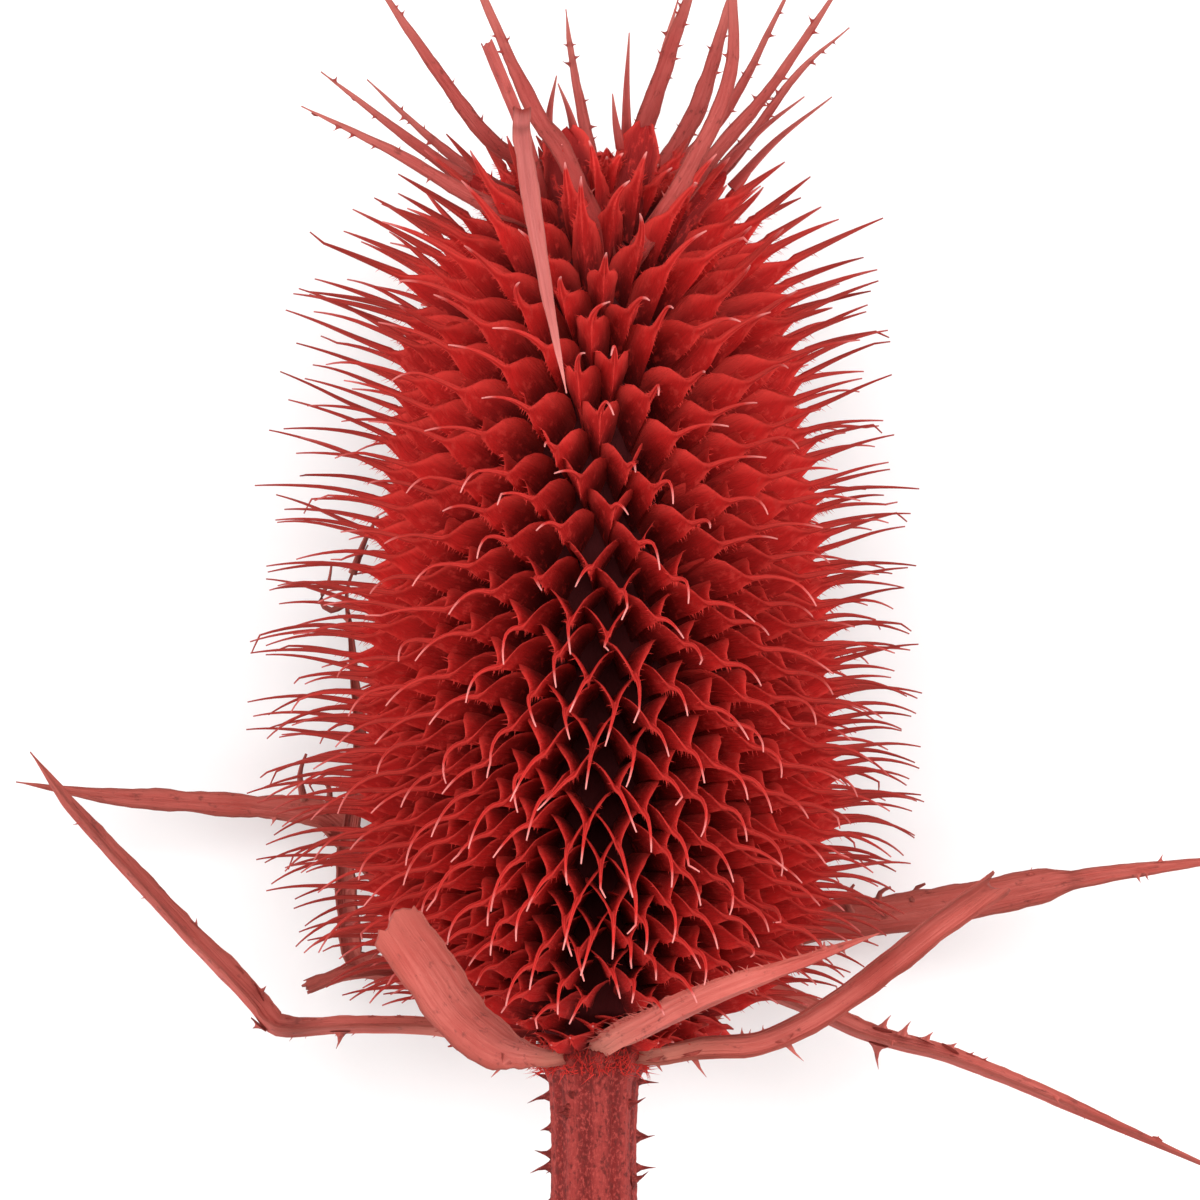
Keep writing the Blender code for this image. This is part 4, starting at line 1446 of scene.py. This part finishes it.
def round_shell(skin, points, sides, normals, wide, high, along, shade, lengths, stain=0.0):
    """Skins a round or oval rod, which is so wide across and so high up at each point."""
    halves = []
    for angles in round_section(3):
        across = np.cos(angles)[None] * wide[:, None]
        up = np.sin(angles)[None] * high[:, None]
        halves.append(lay(points, sides, normals, across, up))
    add_shell(skin, halves[0], halves[1], along, np.zeros(3), shade, lengths, stain)


def prickle(skin, root, way, length, radius, shade, host=TO_CROWN, hook=0.25, stain=0.0):
    """A thorn with a broad foot along its host, which narrows fast and hooks along the host."""
    way = unit(np.asarray(way, float))
    host = unit(host - way * (host @ way))
    shares = PRICKLE_SHARES[:, None]
    points = root + way * length * shares + host * hook * length * shares**2
    sides, normals = frames(unit(np.gradient(points, axis=0)), host)
    radii = radius * PRICKLE_RADII
    wide = radii * PRICKLE_STRETCH
    along, lengths = 0.35 + 0.5 * PRICKLE_SHARES, length * PRICKLE_SHARES
    round_shell(skin, points, sides, normals, wide, radii, along, shade, lengths, stain)


def wisp(skin, knots, start_radius, end_radius, shade, stain=0.0):
    """A thin round tapered strand along a smooth curve. Everything is in millimetres."""
    points = smooth_curve(np.array(knots, float) * MM, 0.5 * MM)
    ways = unit(np.gradient(points, axis=0))
    spare = TO_CROWN if abs(ways[0] @ TO_CROWN) < 0.7 else TO_CAMERA
    sides, normals = frames(ways, spare)
    u = np.linspace(0.0, 1.0, len(points))
    radii = (start_radius + (end_radius - start_radius) * u) * MM
    lengths = u * float(np.linalg.norm(points[-1] - points[0]))
    round_shell(skin, points, sides, normals, radii, radii, 0.2 + 0.75 * u, shade, lengths, stain)


print("a prickle narrows to these shares of its foot:", PRICKLE_RADII.tolist())


# %% [markdown]
# The centre line of a blade follows its route, and may start from a point inside the head, so that no
# root is seen to end in the air. Slow random waves keep its edges and ribs from looking drawn with a
# ruler, and at a broken end its fibres end at different lengths.


# %% The course and the section of a blade
BLADE_COLUMNS = 17
BLADE_STEP = 0.6 * MM
ROOT_SHARE = 0.6
LEAST_HALF = 0.05 * MM
BLADE_KEEL = 0.30 * MM
LUMP_HEIGHT = 0.03 * MM
FULL_WIDTH = ((0.0, 1.0), (1.0, 1.0))
BLADE_ACROSS = np.linspace(-1.0, 1.0, BLADE_COLUMNS)


def smooth_noise(rng, count, reach):
    """Random numbers between about -1 and 1 that change slowly over so many steps."""
    values = np.array([rng.uniform(-1.0, 1.0) for _ in range(count + 2 * reach)])
    values = np.convolve(values, np.ones(reach) / reach, mode="same") * math.sqrt(reach)
    return values[reach : reach + count]


def blade_course(route, heart):
    """The points of a centre line, their distances from its root, their ways and their frames."""
    knots = route.points
    if heart is not None:
        inside = np.array([AXIS_X, knots[0, 1] + heart * MM, AXIS_Z])
        knots = np.concatenate([[knots[0] + ROOT_SHARE * (inside - knots[0])], knots])
    points = smooth_curve(knots, BLADE_STEP)
    lengths = np.concatenate([[0.0], np.cumsum(np.linalg.norm(np.diff(points, axis=0), axis=1))])
    ways = unit(np.gradient(points, axis=0))
    normals = unit(route.facing - ways * (ways @ route.facing)[:, None])
    return points, lengths, ways, np.cross(ways, normals), normals


def blade_section(rng, half, curl, thick, ribs, rough):
    """How far across and up the outer and the inner points lie, row by row."""
    t, rows = BLADE_ACROSS, len(half)
    radius = (half / math.sin(min(curl, math.pi / 2)))[:, None]
    angles = curl * t[None] * (1.0 + 0.10 * smooth_noise(rng, rows, 5)[:, None])
    left, right = smooth_noise(rng, rows, 3), smooth_noise(rng, rows, 3)
    edge = np.where(t[None] < 0, left[:, None], right[:, None]) * t[None] ** 2
    share = np.minimum(1.0, half / (0.5 * MM))[:, None]
    wall = thick * MM * (1.0 - 0.45 * np.abs(t)) * share
    ripple = ribs * MM * np.cos(t * math.pi * 4) ** 2 * share
    keel = BLADE_KEEL * np.exp(-((t / 0.14) ** 2)) * share
    lumps = np.array([smooth_noise(rng, rows, 3) for _ in t]).T * LUMP_HEIGHT * share
    outer_radius = radius + wall + ripple + keel + lumps
    inner_x = radius * np.sin(angles) * (1.0 + rough * edge)
    inner_n = radius * (1 - np.cos(angles)) - 0.7 * lumps - 0.5 * ripple
    outer_x = inner_x + (outer_radius - radius) * np.sin(angles) * 0.6
    outer_n = radius - outer_radius * np.cos(angles)
    return outer_x, outer_n, inner_x, inner_n


def torn_end(rng, u, ragged, prongs):
    """How far the points of the last rows slip back where the blade is torn."""
    if not ragged:
        return np.zeros((len(u), BLADE_COLUMNS))
    ends = np.array([rng.uniform(0.0, 1.0) for _ in BLADE_ACROSS])
    ends = np.convolve(np.pad(ends, 1, mode="edge"), [0.2, 0.6, 0.2], mode="valid")
    ends = (1.0 - prongs) * ends + prongs * np.exp(-((BLADE_ACROSS / 0.4) ** 2))
    return -ragged * MM * ends[None] * np.clip((u[:, None] - 0.75) / 0.25, 0.0, 1.0) ** 2


print("a blade has", BLADE_COLUMNS, "points across and a row every", BLADE_STEP / MM, "mm")


# %% [markdown]
# A blade may be broken, torn, stained or thorny, so it has values of its own for these: ragged says how
# many millimetres its torn fibres slip back, prongs how much of that is in its middle, and heart how
# far up the axis it starts. Its thorns are given by the places of their points in the photograph.


# %% A blade
THORN_RADIUS = 0.46 * MM


def blade(skin, route, rng, widths=FULL_WIDTH, curl=0.8, thick=0.34, ribs=0.10, rough=0.05, **own):
    """A long channelled bract over its route. Its own values are for its ends and marks."""
    points, lengths, ways, sides, normals = blade_course(route, own.get("heart"))
    u = lengths / lengths[-1]
    share_at, width_at = zip(*widths)
    half = route.half_width * blade_share(u, route.broken) * np.interp(u, share_at, width_at)
    half = np.maximum(half, LEAST_HALF)
    outer_x, outer_n, inner_x, inner_n = blade_section(rng, half, curl, thick, ribs, rough)
    slip = torn_end(rng, u, own.get("ragged", 0.0), own.get("prongs", 0.0))
    slip = ways[:, None] * slip[..., None]
    stain = np.zeros(len(points))
    for centre, reach, amount in own.get("stains", ()):
        stain = np.maximum(stain, amount * np.exp(-(((u - centre) / reach) ** 2)))
    shade = rng.uniform(0.2, 0.6)
    outer = lay(points, sides, normals, outer_x, outer_n) + slip
    inner = lay(points, sides, normals, inner_x, inner_n) + slip
    along = u * own.get("last", 1.0)
    add_shell(skin, outer, inner, along, np.abs(BLADE_ACROSS), shade, lengths, stain)
    for tip in own.get("thorns", ()):
        tip = np.array(tip, float) * MM
        nearest = int(np.argmin(np.linalg.norm((points - tip)[:, :2], axis=1)))
        nearest = min(max(nearest, 1), len(points) - 2)
        drop = tip - points[nearest]
        drop[2] *= 0.3
        foot = points[nearest] + drop * min(0.6, 0.6 * half[nearest] / np.linalg.norm(drop))
        length = float(np.linalg.norm(tip[:2] - foot[:2]))
        prickle(skin, foot, tip - foot, length, THORN_RADIUS, shade, ways[nearest], 0.3, 0.3)
    return points, ways, sides, normals, half


print("the large thorns are", round(2 * THORN_RADIUS / MM, 2), "mm wide at the foot")

# %% [markdown]
# Smaller prickles stand on the keel and the edges by chance, and one bract has a fringe of hairs. All
# of them are prickles of other sizes, so that they hook and widen at the foot alike.


# %% Prickles and hairs along a blade
SHORTEST_SHARE = 0.45
FOOT_SHARE = 0.36
HAIR_RADIUS = 0.13 * MM


def edge_foot(made, i, sign):
    """A point on the left or the right edge of a blade, at its row i."""
    points, ways, sides, normals, half = made
    return points[i] + sides[i] * sign * 0.85 * half[i] + normals[i] * 0.3 * half[i]


def small_prickles(skin, made, rng, count, longest, where=(0.1, 0.9), keel=0.4, stain=0.3):
    """Short prickles that lean to the tip, by chance on the keel or on an edge of a blade."""
    points, ways, sides, normals, half = made
    for _ in range(count):
        i = round(rng.uniform(*where) * (len(points) - 1))
        length = rng.uniform(SHORTEST_SHARE, 1.0) * longest * MM
        shade = rng.random()
        if rng.random() < keel:
            foot = points[i] - normals[i] * 0.3 * MM
            way = -normals[i] + sides[i] * rng.uniform(-0.4, 0.4)
        else:
            sign = rng.choice((-1.0, 1.0))
            foot = edge_foot(made, i, sign)
            way = sides[i] * sign + normals[i] * rng.uniform(-0.3, 0.3)
        hook = rng.uniform(0.1, 0.6)
        prickle(skin, foot, way, length, FOOT_SHARE * length, shade, ways[i], hook, stain)


def edge_hairs(skin, made, rng, sign, gap, where=(0.05, 0.9)):
    """A row of stiff curved hairs along one edge of a blade, about so many millimetres apart."""
    points, ways, sides, normals, half = made
    reach = np.linalg.norm(np.diff(points, axis=0), axis=1).sum()
    place = where[0]
    while place < where[1]:
        i = round(place * (len(points) - 1))
        length = rng.uniform(0.5, 1.3) * MM
        way = sides[i] * sign + normals[i] * rng.uniform(-0.5, 0.3)
        shade, hook = rng.random(), rng.uniform(-0.7, 0.3)
        prickle(skin, edge_foot(made, i, sign), way, length, HAIR_RADIUS, shade, ways[i], hook)
        place += gap * MM / reach * rng.uniform(0.4, 1.6)


print("the hairs of an edge are", 2 * HAIR_RADIUS / MM, "mm wide at the foot")

# %% [markdown]
# ## The involucral bracts
#
# Nine long bracts grow from the collar under the head. Each has its own character: a kink, a rolled
# and broken end, a hairy edge or a hook, and each replaces its own CAD solid.
#
# The widths say how wide it is at shares of its length, and the stains where it is brown, over what
# reach and how much.

# %% The habits of the nine bracts
HABITS = {
    "involucral_bract_1": dict(
        curl=0.9,
        widths=((0.0, 0.85), (0.38, 0.85), (0.45, 1.3), (0.8, 1.65), (0.94, 1.95), (1.0, 1.3)),
        stains=((0.42, 0.035, 0.8), (0.9, 0.30, 0.6)),
        thorns=((-21.2, -27.5, 25.0), (-26.7, -23.0, 25.0), (-27.7, -26.1, 25.0)),
    ),
    "involucral_bract_2": dict(
        curl=1.25,
        widths=((0.0, 0.3), (0.25, 0.42), (0.42, 0.75), (0.55, 1.08), (1.0, 1.12)),
        thick=0.28,
        ribs=0.12,
        rough=0.07,
        ragged=1.2,
        stains=((0.55, 0.3, 0.25),),
        thorns=((-9.75, -29.6, 34.0),),
    ),
    "involucral_bract_3": dict(
        curl=0.7,
        widths=((0.0, 0.7), (0.5, 0.5), (0.56, 0.95), (0.9, 1.2), (1.0, 0.8)),
        rough=0.12,
        stains=((0.54, 0.03, 1.0), (0.3, 0.2, 0.4), (1.0, 0.2, 0.6)),
    ),
    "involucral_bract_4": dict(
        curl=1.0,
        widths=((0.0, 0.9), (0.5, 1.0), (1.0, 0.7)),
        rough=0.2,
        stains=((1.0, 0.5, 0.8), (0.3, 0.5, 0.35)),
    ),
    "involucral_bract_5": dict(
        curl=1.2,
        widths=((0.0, 1.0), (0.5, 0.8), (1.0, 0.6)),
        rough=0.2,
        ragged=1.2,
        stains=((1.0, 0.08, 0.8), (0.6, 0.3, 0.2)),
        thorns=((-18.75, -23.9, 12.0),),
    ),
    "involucral_bract_6": dict(
        curl=0.9, widths=((0.0, 0.8), (0.2, 1.0), (1.0, 0.75)), stains=((1.0, 0.15, 0.4),)
    ),
    "involucral_bract_7": dict(
        curl=1.8,
        widths=((0.0, 0.4), (0.2, 0.5), (0.6, 0.6), (1.0, 0.62)),
        rough=0.06,
        ragged=1.7,
        prongs=0.8,
        stains=((1.0, 0.03, 0.7),),
        thorns=((2.5, -29.3, 25.0), (5.5, -29.7, 26.0), (12.7, -28.5, 29.0)),
    ),
    "involucral_bract_8": dict(
        curl=0.8,
        widths=((0.0, 1.0), (0.4, 0.8), (0.76, 1.2), (0.785, 0.78), (1.0, 0.9)),
        rough=0.05,
        stains=((0.34, 0.08, 0.7), (0.79, 0.01, 0.6)),
    ),
    "involucral_bract_9": dict(
        curl=0.9,
        widths=((0.0, 1.0), (0.3, 0.9), (1.0, 0.85)),
        stains=((1.0, 0.3, 0.6),),
        thorns=(
            (18.75, -29.6, 12.0), (19.9, -25.4, 12.0), (21.4, -25.9, 13.0), (23.2, -26.7, 13.0),
            (25.1, -27.5, 13.0),
        ),
    ),
}
print(sum("thorns" in habit for habit in HABITS.values()), "of the bracts have large thorns")

# %% [markdown]
# Here and there a fibre has come off the edge of a bract and curls away. These sprigs are short wisps
# along a few points each.

# %% Sprigs, and the nine bracts
SPRIG_RADII = (0.34, 0.10)
SPRIG_SHADE, SPRIG_STAIN = 0.5, 0.9
SPRIGS = {
    "involucral_bract_3": (
        ((-24.6, -9.4, 5.6), (-24.9, -7.4, 6.0), (-24.4, -5.8, 6.4)),
        ((-23.0, -10.4, 5.4), (-22.6, -8.6, 6.0), (-23.4, -7.6, 6.2)),
    ),
    "involucral_bract_4": (
        (
            (-21.0, 6.0, 8.6), (-22.4, 5.2, 9.0), (-23.2, 6.0, 9.0), (-22.6, 7.4, 9.0),
            (-22.4, 8.6, 9.0),
        ),
        ((-20.8, 8.0, 8.8), (-19.8, 10.6, 9.2), (-18.8, 12.4, 9.4)),
    ),
    "involucral_bract_8": (
        ((17.4, -18.0, 6.2), (17.0, -16.8, 6.6), (17.6, -15.8, 6.8)),
        ((19.4, -17.6, 6.6), (19.6, -16.4, 7.0), (20.4, -16.0, 7.2)),
        ((22.0, -17.0, 7.6), (22.4, -16.0, 7.8), (23.0, -15.7, 8.0)),
    ),
}
for name, habit in HABITS.items():
    skin = Skin()
    made = blade(skin, INVOLUCRE[name], rng, heart=0.3, **habit)
    small_prickles(skin, made, rng, 16, 0.8)
    if name == "involucral_bract_1":
        small_prickles(skin, made, rng, 18, 0.7, (0.16, 0.46), 0.2)
    if name == "involucral_bract_6":
        edge_hairs(skin, made, rng, 1.0, 0.9, (0.15, 0.9))
        edge_hairs(skin, made, rng, 1.0, 0.35, (0.1, 0.4))
        small_prickles(skin, made, rng, 12, 0.8, (0.2, 0.8), 0.1)
    for sprig in SPRIGS.get(name, ()):
        wisp(skin, sprig, *SPRIG_RADII, SPRIG_SHADE, SPRIG_STAIN)
    skin.piece(name + "_skin", involucre_rose, "involucral_bract", name)

# %% [markdown]
# ## The crown
#
# The uppermost bracts are long thorny blades that spread like a fan. One has snapped: its stub still
# stands, and its thin pale end hangs down over the head.

# %% The crown
CROWN_HABIT = dict(
    widths=((0.0, 0.5), (0.14, 0.9), (0.34, 0.72), (0.7, 0.70), (1.0, 0.8)),
    curl=0.9,
    thick=0.28,
    ribs=0.05,
    rough=0.10,
    stains=((1.0, 0.15, 0.3),),
)
STUB_HABIT = dict(
    widths=((0.0, 0.6), (1.0, 0.55)), curl=2.0, thick=0.15, ribs=0.04, rough=0.06, ragged=0.3, last=0.7
)
NEEDLE_RADII = (0.42, 0.05)
NEEDLES = (
    ((-5.8, 40.0, 27.0), (-5.6, 42.5, 27.6), (-5.1, 45.0, 28.0)),
    ((-3.6, 40.2, 27.0), (-4.2, 42.4, 27.8), (-5.0, 44.4, 28.2)),
    ((0.1, 40.4, 27.0), (0.1, 44.0, 27.6), (0.3, 48.2, 28.0)),
    ((-0.3, 39.6, 28.0), (-0.7, 41.4, 28.6), (-0.95, 43.6, 29.0)),
    ((7.0, 38.0, 24.0), (10.0, 41.0, 24.6), (13.4, 43.6, 25.0)),
    ((8.0, 37.0, 20.0), (11.4, 40.6, 19.6), (15.6, 43.9, 19.0)),
)
skin = Skin()
for route in CROWN:
    made = blade(skin, route, rng, heart=-6.0, **CROWN_HABIT)
    small_prickles(skin, made, rng, 11, 0.62, (0.3, 0.95), 0.15, 0.35)
for needle in NEEDLES:
    wisp(skin, needle, *NEEDLE_RADII, rng.random())
stub = blade(skin, SNAPPED_STUB, rng, heart=-5.0, **STUB_HABIT)
small_prickles(skin, stub, rng, 5, 0.4, (0.4, 0.9), 0.2, 0.7)
skin.piece("crown", crown_red, "seed_head", "seed_head")

# %% [markdown]
# At the foot of the crown four broad bracts, half scale and half blade, fold over like hoods. They turn
# their backs to the camera, and their torn ends show the ribs.

# %% The hoods
HOODS = (
    Route(2.3, ((-2.6, 30.5, 26.5), (-3.9, 35.6, 28.4), (-4.7, 41.4, 28.5)), (0.1, 0.4, -1.0), True),
    Route(1.6, ((-1.0, 30.5, 27.0), (0.6, 36.6, 28.2), (1.5, 41.6, 28.4)), (-0.1, 0.4, -1.0), True),
    Route(1.5, ((1.6, 29.0, 26.5), (4.4, 34.6, 27.4), (7.4, 38.0, 27.6)), (-0.3, 0.4, -1.0), True),
    Route(1.4, ((-6.0, 29.0, 25.5), (-8.6, 33.8, 27.0), (-11.6, 37.6, 27.6)), (0.4, 0.4, -1.0), True),
)
HOOD_HABIT = dict(
    widths=((0.0, 0.7), (0.55, 1.0), (0.8, 0.86), (0.93, 0.6), (1.0, 0.3)),
    curl=1.0,
    thick=0.3,
    ribs=0.14,
    rough=0.14,
    ragged=0.7,
    last=0.22,
)
skin = Skin()
for route in HOODS:
    made = blade(skin, route, rng, **HOOD_HABIT)
    small_prickles(skin, made, rng, 16, 0.8, (0.4, 0.95), 0.7, 0.2)
skin.piece("hoods", scale_red, "seed_head", "seed_head")

# %% [markdown]
# The snapped end is a shallow open blade, and the palest thing on the head. It is dark only at the
# break, and at a crease a little below.

# %% The snapped bract
skin = Skin()
blade(
    skin,
    SNAPPED_END,
    rng,
    widths=((0.0, 1.15), (0.12, 1.1), (0.2, 0.95), (1.0, 0.9)),
    curl=0.9,
    thick=0.2,
    ribs=0.05,
    rough=0.06,
    stains=((0.0, 0.03, 1.0), (0.085, 0.012, 0.8)),
)
skin.piece("snapped_bract", straw_pink, "seed_head", "seed_head")

# %% [markdown]
# ## The stem
#
# The stem is a ridged rod with broad thorns in small clusters. It widens to a collar under the head,
# where torn red fibres stand up. It is cut off square below, where the photograph ends.

# %% The stem
STEM_X = -2.4 * MM
STEM_END_Y = -57.75 * MM
STEM_DISTANCES = np.array([0.0, 6.0, 12.0, 18.0, 24.0, 27.6, 29.2, 30.45])
STEM_RADII = np.array([3.3, 3.4, 3.3, 3.35, 3.3, 3.4, 4.1, 4.2])
STEM_RIDGES = 9
STEM_SIDES = 108
STEM_ROWS = 90
STEM_SHADE = 0.4
RIDGE_DEPTH = 0.34 * MM
SMALL_RIDGE_DEPTH = 0.09 * MM
skin = Skin()
steps = np.linspace(0.0, STEM_DISTANCES[-1], STEM_ROWS)
turns = np.arange(STEM_SIDES) / STEM_SIDES * 2 * math.pi
ridge = np.abs(np.cos(turns * STEM_RIDGES / 2))
small_ridge = np.abs(np.cos(turns * STEM_RIDGES * 1.5 + 0.6))
radii = np.interp(steps, STEM_DISTANCES, STEM_RADII)[:, None] * MM
sway = np.sin(steps * 0.5)[:, None] * 0.05 * MM
rough = np.array([smooth_noise(rng, STEM_SIDES, 2) for _ in steps]) * 0.035 * MM
radii = radii - RIDGE_DEPTH * (1 - ridge[None]) - SMALL_RIDGE_DEPTH * (1 - small_ridge[None])
radii = radii + sway + rough
rings = level_rings(STEM_X, STEM_END_Y, steps, radii, turns)
add_tube(skin, rings, steps / steps[-1], ridge, STEM_SHADE, steps * MM)
print("the stem is", round(steps[-1], 2), "mm long")

# %% [markdown]
# The thorns that the photograph shows are placed one by one, by their height and their angle round the
# stem. More clusters of one to three stand all round by chance.


# %% The thorns of the stem
THORN_FOOT = 3.05 * MM
THORN_CLUSTERS = 16


def stem_thorn(height, degrees, length, hook):
    """A thorn on the stem, at a height in millimetres and an angle round the stem."""
    angle = math.radians(degrees)
    outward = np.array([math.cos(angle), 0.0, math.sin(angle)])
    root = np.array([STEM_X, height * MM, AXIS_Z]) + outward * THORN_FOOT
    prickle(skin, root, outward, length * MM, THORN_RADIUS, rng.random(), TO_CROWN, hook, 0.3)


STEM_THORNS = (
    (-30.1, 4.0, 1.9, -0.05),
    (-36.6, -6.0, 1.7, 0.0),
    (-37.4, 12.0, 1.2, 0.5),
    (-29.8, 176.0, 1.5, 0.3),
    (-31.2, 184.0, 1.9, -0.3),
    (-33.6, 178.0, 0.9, -0.2),
    (-35.5, 170.0, 1.4, 0.2),
    (-36.5, 182.0, 1.7, -0.3),
)
for thorn in STEM_THORNS:
    stem_thorn(*thorn)
for cluster in range(THORN_CLUSTERS):
    height = rng.uniform(-56.5, -30.0)
    degrees = rng.uniform(-160.0, 40.0) + 200.0 * (cluster % 2)
    for _ in range(rng.choice((1, 2, 3))):
        stem_thorn(
            height + rng.uniform(-0.9, 0.9),
            degrees + rng.uniform(-14.0, 14.0),
            rng.uniform(0.9, 1.7),
            rng.uniform(-0.4, 0.4),
        )
skin.piece("stem_skin", stem_red, "stem", "stem")

# %% [markdown]
# Where the lowest scales have worn off, the collar is a fluff of torn fibres. They stand out from its
# face in every direction, most of them up or down along it.

# %% The torn fibres of the collar
COLLAR_FIBRES = 900
COLLAR_RADIUS = 3.9 * MM
FIBRE_RADIUS = 0.05 * MM
FIBRE_SHADE = 0.3
skin = Skin()
turns = np.array([rng.uniform(0.0, 2 * math.pi) for _ in range(COLLAR_FIBRES)])
fibre_heights = np.array([rng.uniform(-29.4, -27.0) for _ in turns])
outward = np.stack([np.cos(turns), 0 * turns, np.sin(turns)], axis=1)
feet = np.array([STEM_X, 0.0, AXIS_Z]) + outward * COLLAR_RADIUS
feet[:, 1] = fibre_heights * MM
fibre_ways = np.array(
    [[rng.gauss(0.0, 0.5), rng.gauss(0.1, 0.9), rng.gauss(0.0, 0.5)] for _ in turns]
)
fibre_lengths = np.array([rng.uniform(0.5, 1.6) * MM for _ in turns])
add_hairs(skin, feet, outward + fibre_ways, fibre_lengths, FIBRE_RADIUS, FIBRE_SHADE)
skin.piece("collar_fibres", scale_red, "stem", "stem")

# %% [markdown]
# ## The floor
#
# The photograph has a plain white ground. A pale floor under the head takes its soft shadow.

# %% The floor
FLOOR_HALF = 1.5
FLOOR_COLOUR = (0.88, 0.88, 0.88, 1.0)
floor_mesh = bpy.data.meshes.new("floor")
floor_mesh.from_pydata(
    [
        (-FLOOR_HALF, -FLOOR_HALF, 0.0),
        (FLOOR_HALF, -FLOOR_HALF, 0.0),
        (FLOOR_HALF, FLOOR_HALF, 0.0),
        (-FLOOR_HALF, FLOOR_HALF, 0.0),
    ],
    [],
    [(0, 1, 2, 3)],
)
floor_paint = bpy.data.materials.new("pale floor")
floor_paint.use_nodes = True
floor_shader = floor_paint.node_tree.nodes["Principled BSDF"]
floor_shader.inputs["Base Color"].default_value = FLOOR_COLOUR
floor_shader.inputs["Roughness"].default_value = 0.9
floor_mesh.materials.append(floor_paint)
floor = bpy.data.objects.new("floor", floor_mesh)
bpy.context.scene.collection.objects.link(floor)
print("the floor is", 2 * FLOOR_HALF, "m wide")
